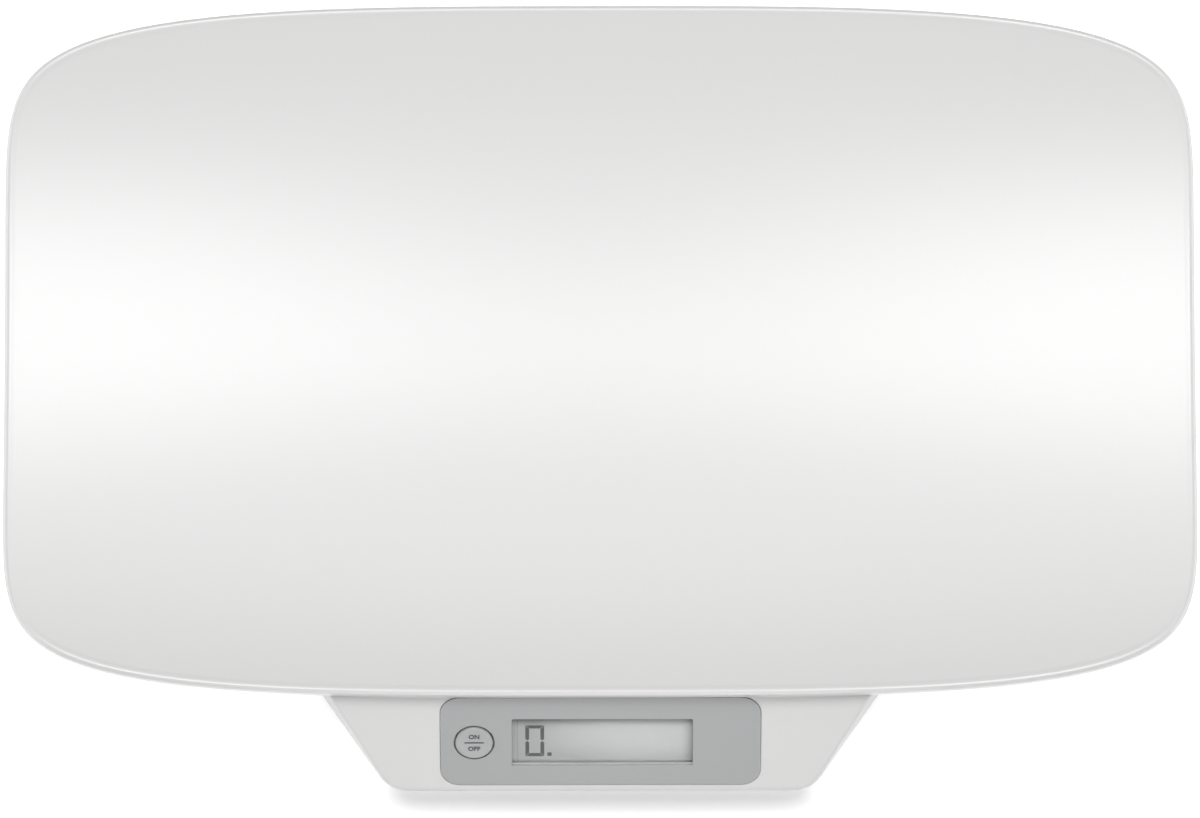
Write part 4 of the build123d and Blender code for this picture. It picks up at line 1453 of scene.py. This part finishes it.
# ---- Base ----
@dataclass(frozen=True)
class BasePlan:
    """Plan of the base: a wide back, and cheeks that narrow to the console."""

    front_y: float = -179.7 * MM
    back_y: float = 138.7 * MM
    front_half: float = 97.0 * MM
    side_half: float = 150.0 * MM
    cheek_angle: float = 35.0
    radii: Triple = (16.0 * MM, 40.0 * MM, 30.0 * MM)
    arc_steps: tuple[int, int, int] = (12, 14, 20)
    clear_share: float = 0.02  # part of a straight run by each corner that gets no point

    def corners(self) -> list[tuple[Vector, float, float, float]]:
        """Right-hand corners from the front: centre, radius, and angles of the normals there.

        Returns:
            The corners, in order.
        """
        run = (self.side_half - self.front_half) / math.tan(math.radians(self.cheek_angle))
        points = [
            Vector((self.front_half, self.front_y)),
            Vector((self.side_half, self.front_y + run)),
            Vector((self.side_half, self.back_y)),
        ]
        turns = [-90.0, -self.cheek_angle, 0.0, 90.0]
        made = []
        for place, (point, radius) in enumerate(zip(points, self.radii)):
            before, after = (
                Vector((math.cos(math.radians(t)), math.sin(math.radians(t))))
                for t in turns[place : place + 2]
            )
            centre = point - radius * (before + after) / (1 + before.dot(after))
            made.append((centre, radius, turns[place], turns[place + 1]))
        return made

    def side(self, inset: float, stations: Sequence[float] = ()) -> list[Station]:
        """Right-hand boundary from the front edge to the back edge.

        Args:
            inset: distance in from the outline.
            stations: places along Y where the outline's straight runs get a point.

        Returns:
            X, Y and the outward normal's X and Y of each point.
        """
        points: list[Station] = []
        arcs = []
        for (centre, radius, start, end), steps in zip(self.corners(), self.arc_steps):
            turns = [math.radians(start + (end - start) * n / steps) for n in range(steps + 1)]
            arcs.append([(centre, radius, turn) for turn in turns])
        for place, run in enumerate(arcs):
            if place:
                points += self._straight(arcs[place - 1][-1], run[0], inset, stations)
            points += [self._on_arc(item, inset) for item in run]
        return points

    @staticmethod
    def _on_arc(item: Turn, inset: float) -> Station:
        """Finds one turn of a corner.

        Args:
            item: the corner's centre and radius, and the angle of the normal.
            inset: distance in from the outline.

        Returns:
            The point and its normal.
        """
        centre, radius, turn = item
        normal = (math.cos(turn), math.sin(turn))
        reach = radius - inset
        return (centre.x + reach * normal[0], centre.y + reach * normal[1], *normal)

    def _straight(
        self, start: Turn, end: Turn, inset: float, stations: Sequence[float]
    ) -> list[Station]:
        """Finds the stations that lie on one straight run.

        Args:
            start: the turn before the run.
            end: the turn after it.
            inset: distance in from the outline.
            stations: places along Y, on the outline.

        Returns:
            The points there, with the run's normal.
        """
        first, last = self._on_arc(start, 0.0), self._on_arc(end, 0.0)
        here, there = self._on_arc(start, inset), self._on_arc(end, inset)
        points = []
        for station in stations:
            share = (station - first[1]) / (last[1] - first[1])
            if self.clear_share < share < 1 - self.clear_share:
                x = here[0] + share * (there[0] - here[0])
                y = here[1] + share * (there[1] - here[1])
                points.append((x, y, here[2], here[3]))
        return points


def soft_min(first: float, second: float, width: float) -> float:
    """The lower of two heights, with the crease between them rounded.

    Args:
        first: one height.
        second: the other.
        width: height's difference over which the crease is rounded.

    Returns:
        The height.
    """
    near = max(width - abs(first - second), 0.0) / width
    return min(first, second) - near * near * width / 4


@dataclass(frozen=True)
class Screw:
    """Cross-head screw, of which the head looks down."""

    head_radius: float = 3.1 * MM
    head_height: float = 2.0 * MM
    head_edge: float = 0.5 * MM
    shank_radius: float = 1.5 * MM
    shank_shown: float = 6.0 * MM
    slot: Triple = (3.6 * MM, 0.7 * MM, 0.2 * MM)
    slot_depth: float = 1.1 * MM

    def build(self) -> Mesh:
        """Turns the screw and cuts its cross.

        Returns:
            The screw.
        """
        radius, height, edge = self.head_radius, self.head_height, self.head_edge
        profile = [(AXIS, -height), *arc((radius - edge, edge - height), edge, 270, 360, 4)]
        profile += [(radius, 0.0), (self.shank_radius, 0.0), (self.shank_radius, self.shank_shown)]
        made = turned("screw", profile, 40)
        bar = plate("bar", [rounded(*self.slot)], -height - MM, self.slot_depth - height)
        for turn in (0.0, 90.0):
            made = cut(made, moved(bar, Matrix.Rotation(math.radians(turn), 4, "Z")))
        return made


@dataclass
class Base:
    """Upper and lower housing, and the screws that close them."""

    trough: Trough
    console: ConsoleFace
    cutters: list[Mesh]
    plan: BasePlan = field(default_factory=BasePlan)
    tray_gap: float = 7.0 * MM
    land: float = 56.1 * MM
    land_round: float = 1.5 * MM
    console_round: float = 1.2 * MM
    split: float = 17.0 * MM
    seam: float = 0.35 * MM
    wall: float = 2.5 * MM
    edge: float = 1.2 * MM
    edge_turn: int = 15  # degrees from one ring of the rounded edge to the next
    columns: int = 44
    row_pitch: float = 5.0 * MM
    rows: int = 61
    fine_pitch: float = 0.4 * MM
    fine_rows: int = 5  # on each side of a crease
    fine_margin: float = 1.2 * MM
    screw: Screw = field(default_factory=Screw)
    screw_places: tuple[Point, ...] = (
        (137.0 * MM, 118.7 * MM),
        (137.0 * MM, -51.3 * MM),
        (101.5 * MM, -144.3 * MM),
    )
    screw_seat: float = 12.1 * MM
    lower_edge: float = 0.25 * MM

    def top(self, y: float, below: float = 0.0) -> float:
        """Height of the upper housing over a line along X.

        Args:
            y: the line's place.
            below: distance under the outer surface.

        Returns:
            The height.
        """
        slope = math.cos(math.radians(self.console.tilt))
        console = self.console.height(y) - below / slope
        trough = self.trough.height(y, -self.tray_gap - below)
        back = soft_min(trough, self.land - below, self.land_round)
        return soft_min(console, back, self.console_round)

    def stations(self) -> list[float]:
        """Places along Y that need a row of points: both creases and even steps between.

        Returns:
            The places, from the front to the back.
        """
        slope = math.tan(math.radians(self.console.tilt))
        crest = self.console.front_y + (self.land - self.console.edge_height) / slope
        inner = self.trough.radius + self.tray_gap
        rise = self.trough.low_line + self.trough.radius - self.land
        dip = self.trough.middle_y - math.sqrt(inner**2 - rise**2)
        near = range(-self.fine_rows, self.fine_rows + 1)
        fine = [place + step * self.fine_pitch for place in (crest, dip) for step in near]
        coarse = [self.plan.front_y + step * self.row_pitch for step in range(1, self.rows + 1)]
        kept = [y for y in coarse if all(abs(y - other) > self.fine_margin for other in fine)]
        return sorted(fine + kept)

    def shares(self) -> list[float]:
        """Places of the columns across the base, from -1 to 1."""
        return [2 * step / self.columns - 1 for step in range(self.columns + 1)]

    def rim(
        self, inset: float, stations: Sequence[float], height: Callable[[float], float]
    ) -> list[Place]:
        """Closed loop round the base at one inset: front edge, right side, back, left side.

        Args:
            inset: distance in from the outline.
            stations: rows on the straight runs.
            height: height of the loop at a place along Y.

        Returns:
            The loop's points.
        """
        right, shares = self.plan.side(inset, stations), self.shares()
        front = [(share * right[0][0], right[0][1]) for share in shares[:-1]]
        back = [(-share * right[-1][0], right[-1][1]) for share in shares[:-1]]
        loop = front + [(x, y) for x, y, *_ in right[:-1]]
        loop += back + [(-x, y) for x, y, *_ in reversed(right[1:])]
        return [(x, y, height(y)) for x, y in loop]

    def lid(
        self, inset: float, stations: Sequence[float], height: Callable[[float], float]
    ) -> Mesh:
        """Grid that closes a loop from above, with one row for each point of a side.

        Args:
            inset: distance in from the outline.
            stations: rows on the straight runs.
            height: height of the grid at a place along Y.

        Returns:
            The grid.
        """
        right, shares = self.plan.side(inset, stations), self.shares()
        rows = [[(share * x, y, height(y)) for share in shares] for x, y, *_ in right]
        return loft("lid", rows, closed=False)

    def build_upper(self) -> Mesh:
        """Upper shell with rounded edges, cut for the panel, window and button.

        Returns:
            The shell.
        """
        stations, edge, wall = self.stations(), self.edge, self.wall

        def fallen(inset: float) -> Callable[[float], float]:
            """Height of the rounded edge at one inset."""
            fall = edge - math.sqrt(max(edge**2 - (edge - inset) ** 2, 0.0))
            return lambda y: self.top(y) - fall

        def split(_: float) -> float:
            """Height of the joint with the lower shell."""
            return self.split

        def inner(y: float) -> float:
            """Height of the wall's inside."""
            return self.top(y, wall)

        turns = range(0, 91, self.edge_turn)
        insets = [edge * (1 - math.sin(math.radians(turn))) for turn in turns]
        rings = [self.rim(inset, stations, fallen(inset)) for inset in insets]
        rings.append(self.rim(0.0, stations, lambda _: self.split + self.seam))
        rings.append(self.rim(self.seam, stations, split))
        rings.append(self.rim(wall, stations, split))
        rings.append(self.rim(wall, stations, inner))
        shell = loft("shell", rings, capped=False)
        lids = [self.lid(edge, stations, self.top), self.lid(wall, stations, inner)]
        mesh = tidy(joined("upper", [shell, *lids]), 5e-6)
        for cutter in self.cutters:
            mesh = cut(mesh, moved(cutter, self.console.matrix()))
        return soften(mesh, angle=30)

    def build_screws(self) -> Mesh:
        """Six cross-head screws in their wells."""
        sides = (-1, 1)
        places = [(side * x, y, self.screw_seat) for x, y in self.screw_places for side in sides]
        return soften(at_places(self.screw.build(), places, SCREW_STEEL), angle=40)

    def build(self) -> None:
        """Builds the base's pieces."""
        add_piece("upper_shell", self.build_upper(), BASE_WHITE, "scale", ["upper_housing"])
        lower = soften(bevelled(node_copy("lower_housing"), self.lower_edge), angle=35)
        add_piece("lower_shell", lower, BASE_WHITE, "scale", ["lower_housing"])
        add_piece("case_screws", self.build_screws(), SCREW_STEEL, "scale", ["housing_screws"])


# ---- Console ----
@dataclass
class Console:
    """Panel, window, display and button on the sloping face."""

    face: ConsoleFace
    panel: Triple = (147.0 * MM, 48.8 * MM, 9.0 * MM)
    panel_low: float = -0.9 * MM
    panel_high: float = 0.3 * MM
    panel_edge: float = 0.2 * MM
    fit: float = 0.3 * MM
    cut_low: float = -6.0 * MM
    cut_high: float = 3.0 * MM
    window: Triple = (83.0 * MM, 26.0 * MM, 0.8 * MM)
    window_at: Point = (0.8 * MM, -0.6 * MM)
    lens_wall: float = 1.0 * MM
    lens_land: float = 2.0 * MM
    button_at: Point = (-58.0 * MM, -0.6 * MM)
    button_radius: float = 8.6 * MM
    button_gap: float = 0.75 * MM
    button_top: float = 0.8 * MM
    button_edge: float = 0.5 * MM
    button_back: float = -3.8 * MM
    flange: float = 1.6 * MM  # past the hole's edge
    flange_wall: float = 1.0 * MM
    hollow: float = 0.12 * MM  # how far the button's face sinks at its middle
    hollow_inset: float = 1.2 * MM
    hollow_share: float = 0.6  # of the radius, where two thirds of the hollow are reached
    legend_size: float = 3.2 * MM
    legend_rises: Point = (2.4 * MM, -4.2 * MM)
    legend_weight: float = 0.1 * MM
    rule: Triple = (9.0 * MM, 0.55 * MM, 0.2 * MM)
    rule_rise: float = 0.2 * MM
    ink: float = 0.02 * MM
    display_face: float = -2.9 * MM
    digit_at: Point = (-30.2 * MM, -1.5 * MM)
    digit_size: Point = (6.9 * MM, 15.5 * MM)
    digit_wall: float = 0.04 * MM
    stroke: float = 1.75 * MM
    bar_gap: float = 0.15 * MM
    point_size: float = 2.0 * MM
    point_edge: float = 0.4 * MM
    point_gap: float = 3.3 * MM

    def window_loop(self) -> list[Point]:
        """Outline of the window."""
        return rounded(*self.window, *self.window_at)

    def hole_loop(self) -> list[Point]:
        """Outline of the button's hole."""
        return circle(self.button_radius + self.button_gap, *self.button_at)

    def cutters(self) -> list[Mesh]:
        """Shapes cut from the housing for the panel, the lens, the display and the button.

        Returns:
            The shapes, on the plane of the console.
        """
        width, height, radius = self.panel
        gap, rim = 2 * self.fit, 2 * (self.lens_land + self.fit)
        seat = rounded(width + gap, height + gap, radius + self.fit)
        pane = rounded(self.window[0] + rim, self.window[1] + rim, self.fit, *self.window_at)
        cuts = (
            ("seat", seat, self.panel_low),
            ("rebate", pane, self.panel_low - self.lens_wall),
            ("opening", self.window_loop(), self.cut_low),
            ("hole", self.hole_loop(), self.cut_low),
        )
        return [plate(name, [loop], low, self.cut_high) for name, loop, low in cuts]

    def build_overlay(self) -> Mesh:
        """Silver panel with the window and the button's hole."""
        loops = [rounded(*self.panel), self.window_loop(), self.hole_loop()]
        mesh = plate("overlay", loops, self.panel_low, self.panel_high, self.panel_edge)
        return soften(moved(mesh, self.face.matrix()), angle=40)

    def build_button(self) -> Mesh:
        """Round key with a soft edge and a flange behind the wall.

        Returns:
            The key, in its place.
        """
        radius, top, soft = self.button_radius, self.button_top, self.button_edge
        flange, back = radius + self.button_gap + self.flange, self.button_back
        front = back + self.flange_wall
        profile = [(AXIS, back), (flange, back), (flange, front), (radius, front)]
        profile += arc((radius - soft, top - soft), soft, 0, 90, 5)
        profile += [(radius - self.hollow_inset, top)]
        profile += [(radius * self.hollow_share, top - self.hollow * 2 / 3)]
        profile += [(2 * AXIS, top - self.hollow)]
        mesh = turned("key", profile, 96)
        place = Matrix.Translation((*self.button_at, 0.0))
        return soften(moved(mesh, self.face.matrix() @ place), angle=40)

    def build_legend(self) -> Mesh:
        """Printed words ON and OFF with a rule between them, on the key.

        Returns:
            The words and the rule, in their place.
        """
        lines = []
        for words, rise in zip(("ON", "OFF"), self.legend_rises):
            text = bpy.data.curves.new(words, "FONT")
            text.body, text.size, text.align_x = words, self.legend_size, "CENTER"
            text.extrude, text.offset, text.resolution_u = self.ink, self.legend_weight, 4
            lines.append(moved(curve_mesh(text, words), Matrix.Translation((0, rise, 0))))
        bar = rounded(*self.rule, 0.0, self.rule_rise)
        lines.append(plate("rule", [bar], -self.ink, self.ink))
        place = Matrix.Translation((*self.button_at, self.button_top))
        return moved(joined("legend", lines), self.face.matrix() @ place)

    def build_digits(self) -> Mesh:
        """The display's nought and its point, as raised bars with mitred corners.

        Returns:
            The bars and the point, in their place.
        """
        wide, tall = self.digit_size[0] / 2, self.digit_size[1] / 2
        half, gap = self.stroke / 2, self.bar_gap
        level = [
            (gap + half - wide, tall - half),
            (wide - half - gap, tall - half),
            (wide + half - gap, tall + half),
            (gap - half - wide, tall + half),
        ]
        upright = [
            (wide, gap),
            (wide + half, half + gap),
            (wide + half, tall + half - gap),
            (wide - half, tall - half - gap),
            (wide - half, half + gap),
        ]
        loops = [level, [(-x, -y) for x, y in level], upright, [(-x, -y) for x, y in upright]]
        loops += [[(x, -y) for x, y in reversed(upright)], [(-x, y) for x, y in reversed(upright)]]
        size = self.point_size
        point = (wide + self.point_gap, -tall + size / 8)
        loops.append(rounded(size, size, self.point_edge, *point))
        mesh = plate("digits", loops, 0.0, self.digit_wall)
        place = Matrix.Translation((*self.digit_at, self.display_face + self.ink))
        return moved(mesh, self.face.matrix() @ place)

    def build(self) -> None:
        """Builds the console's pieces."""
        add_piece("panel", self.build_overlay(), PANEL_SILVER, "scale", ["console_overlay"])
        add_piece("key", self.build_button(), BUTTON_SILVER, "button", ["button_cap"])
        add_piece("key_legend", self.build_legend(), LEGEND_INK, "button")
        add_piece("display_digits", self.build_digits(), DISPLAY_INK, "scale")


# ---- Feet ----
FOOT_PLACES: dict[str, Point] = {
    "front_left": (-110.0 * MM, -96.3 * MM),
    "front_right": (110.0 * MM, -96.3 * MM),
    "back_left": (-110.0 * MM, 108.7 * MM),
    "back_right": (110.0 * MM, 108.7 * MM),
}


@dataclass
class Foot:
    """One foot: a stiff cup with a pin, and a rubber pad."""

    name: str
    x: float
    y: float
    pad_radius: float = 15.0 * MM
    pad_wall: float = 3.0 * MM
    pad_edge: float = 0.8 * MM
    pad_brim: float = 0.3 * MM
    dimple: Point = (2.0 * MM, 0.4 * MM)  # radius and depth, in the sole's middle
    grooves: Point = (5.0 * MM, 9.0 * MM)
    groove_width: float = 1.2 * MM
    groove_depth: float = 0.6 * MM
    groove_slant: float = 0.3 * MM
    cup_wall: float = 3.0 * MM
    cup_edge: float = 0.6 * MM
    neck_radius: float = 12.0 * MM
    neck_root: float = 0.5 * MM
    neck_edge: float = 0.4 * MM
    neck_top: float = 12.6 * MM
    pin_radius: float = 2.5 * MM
    pin_top: float = 16.6 * MM
    pin_head: Point = (1.6 * MM, 1.5 * MM)  # overhang and height

    def build_pad(self) -> Mesh:
        """Rubber pad with ring grooves in its sole.

        Returns:
            The pad, in its place.
        """
        radius, edge, brim = self.pad_radius, self.pad_edge, self.pad_brim
        slant, (middle, depth) = self.groove_slant, self.dimple
        profile = [(AXIS, depth), (middle, depth), (middle + slant, 0.0)]
        for near in self.grooves:
            far, depth = near + self.groove_width, self.groove_depth
            profile += [(near, 0.0), (near + slant, depth), (far - slant, depth), (far, 0.0)]
        profile += arc((radius - edge, edge), edge, 270, 360, 6)
        profile += arc((radius - brim, self.pad_wall - brim), brim, 0, 90, 3)
        profile += [(AXIS, self.pad_wall)]
        return self._here(turned("pad", profile, 96))

    def build_cup(self) -> Mesh:
        """Cup with a shoulder, a neck and a headed pin.

        Returns:
            The cup, in its place.
        """
        low, high, edge = self.pad_wall, self.pad_wall + self.cup_wall, self.cup_edge
        neck, root, soft = self.neck_radius, self.neck_root, self.neck_edge
        pin, head = self.pin_radius, self.pin_radius + self.pin_head[0]
        head_low = self.pin_top - self.pin_head[1]
        profile = [(AXIS, low), (self.pad_radius, low)]
        profile += arc((self.pad_radius - edge, high - edge), edge, 0, 90, 5)
        profile += arc((neck + root, high + root), root, 270, 180, 3)
        profile += [(neck, self.neck_top - soft), (neck - soft, self.neck_top)]
        profile += [(pin, self.neck_top), (pin, head_low), (head, head_low)]
        profile += [(head, self.pin_top), (AXIS, self.pin_top)]
        return self._here(turned("cup", profile, 96))

    def _here(self, mesh: Mesh) -> Mesh:
        """Moves a mesh to the foot's place and softens it."""
        return soften(moved(mesh, Matrix.Translation((self.x, self.y, 0.0))), angle=40)

    def build(self) -> None:
        """Builds the foot's two pieces on their own body."""
        for part, mesh, finish in (
            ("pad", self.build_pad(), PAD_RUBBER),
            ("cup", self.build_cup(), FRAME_WHITE),
        ):
            node = f"foot_{part}_{self.name}"
            add_piece(f"{part}_{self.name}", mesh, finish, f"foot_{self.name}", [node])


# ---- Batteries and small controls ----
@dataclass
class Underside:
    """Battery door and unit slider, seen from below."""

    door_edge: float = 0.2 * MM
    knob_edge: float = 0.15 * MM

    def build(self) -> None:
        """Builds the door and the slider from merged, softened CAD copies."""
        door = soften(bevelled(node_copy("battery_door"), self.door_edge), angle=35)
        add_piece("door", door, BASE_WHITE, "battery_cover", ["battery_door"])
        knob = soften(bevelled(node_copy("unit_switch_knob"), self.knob_edge), angle=35)
        add_piece("slider", knob, SWITCH_BLACK, "unit_slider", ["unit_switch_knob"])


class Inner:
    """CAD nodes that keep their own meshes and get a finish."""

    FINISHES: ClassVar[dict[str, Surface]] = {
        "display_lens": WINDOW_CLEAR,
        "lcd_glass": DISPLAY_GLASS,
        "lcd_frame": FRAME_WHITE,
        "lcd_connectors": STRIP_RUBBER,
        "main_board": BOARD_GREEN,
        "unit_board": BOARD_GREEN,
        "board_screws": SCREW_STEEL,
        "tray_screws": SCREW_STEEL,
        "controller_chip": RESIN_BLACK,
        "capacitors": RESIN_BLACK,
        "crystal": CAN_METAL,
        "lead_header": FRAME_WHITE,
        "strain_gauges": GAUGE_FILM,
        "switch_body": SWITCH_BLACK,
        "switch_plunger": SWITCH_BLACK,
        "unit_switch_body": CAN_METAL,
        "battery_1": BATTERY_JACKET,
        "battery_2": BATTERY_JACKET,
        "spring_contact": CONTACT_NICKEL,
        "tab_contact": CONTACT_NICKEL,
        "link_contact": CONTACT_NICKEL,
        "cell_leads": LEAD_SLEEVE,
        "battery_leads": LEAD_SLEEVE,
        "unit_lead": LEAD_SLEEVE,
    }

    def build(self, nodes: dict[str, Object]) -> None:
        """Gives each shown CAD node its finish.

        Args:
            nodes: the CAD objects by node name.
        """
        for name, node in nodes.items():
            if node.hide_render:
                continue
            finish = self.FINISHES.get(name, CELL_STEEL)
            node.data.materials.clear()
            node.data.materials.append(finish.material())
            log.info("%s keeps its CAD mesh, finished as %s", name, finish.slot)


# ---- Studio ----
@dataclass(frozen=True)
class Softbox:
    """One soft lamp; its power is in watts."""

    name: str
    at: Place
    size: Point
    power: float
    aim: Place = (0.0, 0.02, 0.04)

    def build(self) -> None:
        """Adds the lamp."""
        lamp = bpy.data.lights.new(self.name, "AREA")
        lamp.shape, lamp.size, lamp.size_y = "RECTANGLE", *self.size
        lamp.energy = self.power
        holder = bpy.data.objects.new(self.name, lamp)
        holder.location = self.at
        direction = Vector(self.aim) - Vector(self.at)
        holder.rotation_euler = direction.to_track_quat("-Z", "Y").to_euler()
        bpy.context.scene.collection.objects.link(holder)


@dataclass
class Studio:
    """Pale floor, soft lamps, plain world and the camera.

    Angles are in degrees and the lens is in millimetres.
    """

    target: Place = (0.0, 0.0187, 0.040)
    distance: float = 4.764
    elevation: float = 80.0
    azimuth: float = -0.60
    roll: float = 0.53
    lens: float = 309.6
    aim_drop: float = 0.0240  # how far before the target the camera looks
    floor_size: float = 30.0
    floor_colour: Triple = (0.82, 0.82, 0.82)
    floor_roughness: float = 0.85
    floor_specular: float = 0.1
    floor_lift: float = 0.90  # light of the floor's own, so that it shows white
    # Painted contact shade: ambient occlusion that lowers the floor's own light near the object.
    under_reach: float = 12.0 * MM
    contact_reach: float = 32.0 * MM
    contact_side: Triple = (0.0, 0.8, 0.6)  # way from the floor to what shades it
    contact_depth: float = 2.8
    contact_beside: float = 0.2  # share of the shade that is left beside the object
    contact_line: float = 174.0 * MM  # from the origin forward to where the full shade starts
    contact_fade: float = 12.0 * MM
    ambient: float = 0.02  # light of the world on what the camera sees
    lamps: tuple[Softbox, ...] = (
        Softbox("left_box", (-0.40, 0.22, 1.60), (0.6, 0.6), 9.4),
        Softbox("right_box", (0.40, 0.22, 1.60), (0.6, 0.6), 9.4),
        Softbox("left_fill", (-1.30, 0.00, 0.24), (1.4, 0.4), 6.0, aim=(-0.3, 0.0, 0.06)),
        Softbox("right_fill", (1.30, 0.00, 0.24), (1.4, 0.4), 6.0, aim=(0.3, 0.0, 0.06)),
        Softbox("front_box", (0.0, -0.80, 0.35), (0.4, 0.2), 1.75),
        Softbox("back_box", (0.0, 0.95, 1.80), (1.2, 0.4), 3.6),
    )

    def contact_shade(self, graph: Graph) -> Value:
        """Painted shade close to the object, darkening the floor's own light: under it, and along a
        strip before the console.

        Args:
            graph: the floor material's graph.

        Returns:
            The share of the floor's own light that is left.
        """
        kind = "ShaderNodeAmbientOcclusion"
        under = graph.value(kind, "AO", {"Distance": self.under_reach})
        side = graph.value("ShaderNodeCombineXYZ", inputs=dict(enumerate(self.contact_side)))
        fed = {"Distance": self.contact_reach, "Normal": side}
        beside = graph.value(kind, "AO", fed) ** self.contact_depth
        along = graph.split(graph.value("ShaderNodeTexCoord", "Object"))[1]
        ahead = (along * -1.0 - self.contact_line) / self.contact_fade
        strip = ahead.math("MAXIMUM", 0.0).math("MINIMUM", 1.0)
        share = strip * (1.0 - self.contact_beside) + self.contact_beside
        return under * (share * (beside - 1.0) + 1.0)

    def build_floor(self) -> None:
        """Adds the floor, which shows white to the camera, keeps the object's shadow and has
        painted shade close to the object.
        """
        half = self.floor_size / 2
        corners = [(-half, -half, 0), (half, -half, 0), (half, half, 0), (-half, half, 0)]
        floor = bpy.data.objects.new("floor", mesh_from("floor", corners, [(0, 1, 2, 3)]))
        material, graph, shader = new_material("floor_white")
        colour = (*self.floor_colour, 1.0)
        tone = effect(graph, Effect.TONE, Colour=colour, Amount=0.005, Scale=0.7)
        graph.fill(shader.inputs["Base Color"], tone.outputs["Colour"])
        shader.inputs["Roughness"].default_value = self.floor_roughness
        shader.inputs["Specular IOR Level"].default_value = self.floor_specular
        rays = graph.node("ShaderNodeLightPath")
        seen = Value(graph, rays.outputs["Is Camera Ray"])
        seen = seen + Value(graph, rays.outputs["Is Glossy Ray"])
        seen = seen + Value(graph, rays.outputs["Is Transmission Ray"])
        # The floor's own light, with painted shade near the object.
        lift = seen.math("MINIMUM", 1.0) * self.floor_lift * self.contact_shade(graph)
        shader.inputs["Emission Color"].default_value = (1, 1, 1, 1)
        graph.fill(shader.inputs["Emission Strength"], lift)
        clear = graph.node("ShaderNodeBsdfTransparent")
        below = graph.value("ShaderNodeNewGeometry", "Backfacing")
        sides = {0: below, 1: shader.outputs[0], 2: clear.outputs[0]}
        mixed = graph.node("ShaderNodeMixShader", sides)
        output = material.node_tree.nodes["Material Output"]
        graph.fill(output.inputs["Surface"], mixed.outputs[0])
        floor.data.materials.append(material)
        bpy.context.scene.collection.objects.link(floor)
        floor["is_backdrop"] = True

    def build_world(self) -> None:
        """Sets a plain world: white where the camera sees it, softer as light."""
        world = bpy.data.worlds.new("plain")
        world.use_nodes = True
        graph = Graph(world.node_tree)
        seen = graph.value("ShaderNodeLightPath", "Is Camera Ray")
        shade = world.node_tree.nodes["Background"]
        shade.inputs["Color"].default_value = (1, 1, 1, 1)
        graph.fill(shade.inputs["Strength"], seen * (1 - self.ambient) + self.ambient)
        bpy.context.scene.world = world

    def build_camera(self) -> None:
        """Adds the camera, almost straight over the tray."""
        data = bpy.data.cameras.new("camera")
        data.lens, data.sensor_width = self.lens, 36.0
        data.clip_start, data.clip_end = 0.1, 100.0
        holder = bpy.data.objects.new("camera", data)
        up, side = math.radians(self.elevation), math.radians(self.azimuth)
        away = Vector((math.sin(side) * math.cos(up), -math.cos(side) * math.cos(up), math.sin(up)))
        at = Vector(self.target) + away * self.distance
        aim = Vector(self.target) - Vector((0, self.aim_drop, 0))
        back = (at - aim).normalized()
        right = Vector((0, 0, 1)).cross(back).normalized()
        turn = Matrix((right, back.cross(right), back)).transposed().to_4x4()
        rolled = turn @ Matrix.Rotation(math.radians(self.roll), 4, "Z")
        holder.matrix_world = Matrix.Translation(at) @ rolled
        bpy.context.scene.collection.objects.link(holder)
        bpy.context.scene.camera = holder

    def build(self) -> None:
        """Builds the studio and sets the view."""
        bpy.context.scene.view_settings.view_transform = "Standard"
        self.build_floor()
        self.build_world()
        self.build_camera()
        for lamp in self.lamps:
            lamp.build()


def main() -> None:
    """Builds every sub-assembly in order and works out the boxes of the CAD frame and of the
    finished scene.
    """
    logging.basicConfig(level=logging.INFO, format="%(name)s %(message)s")
    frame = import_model()
    cad_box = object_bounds()
    SLOTS.update(item["slot"] for item in frame["record"]["materials"])
    Studio().build()
    trough, face = Trough(), ConsoleFace()
    console = Console(face)
    Tray(trough).build()
    Base(trough, face, console.cutters()).build()
    console.build()
    for name, place in FOOT_PLACES.items():
        Foot(name, *place).build()
    Underside().build()
    Inner().build(frame["nodes"])
    boxes = {"cad": cad_box, "visual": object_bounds()}
    {name: [list(corner) for corner in box] for name, box in boxes.items()}


if __name__ == "__main__":
    main()
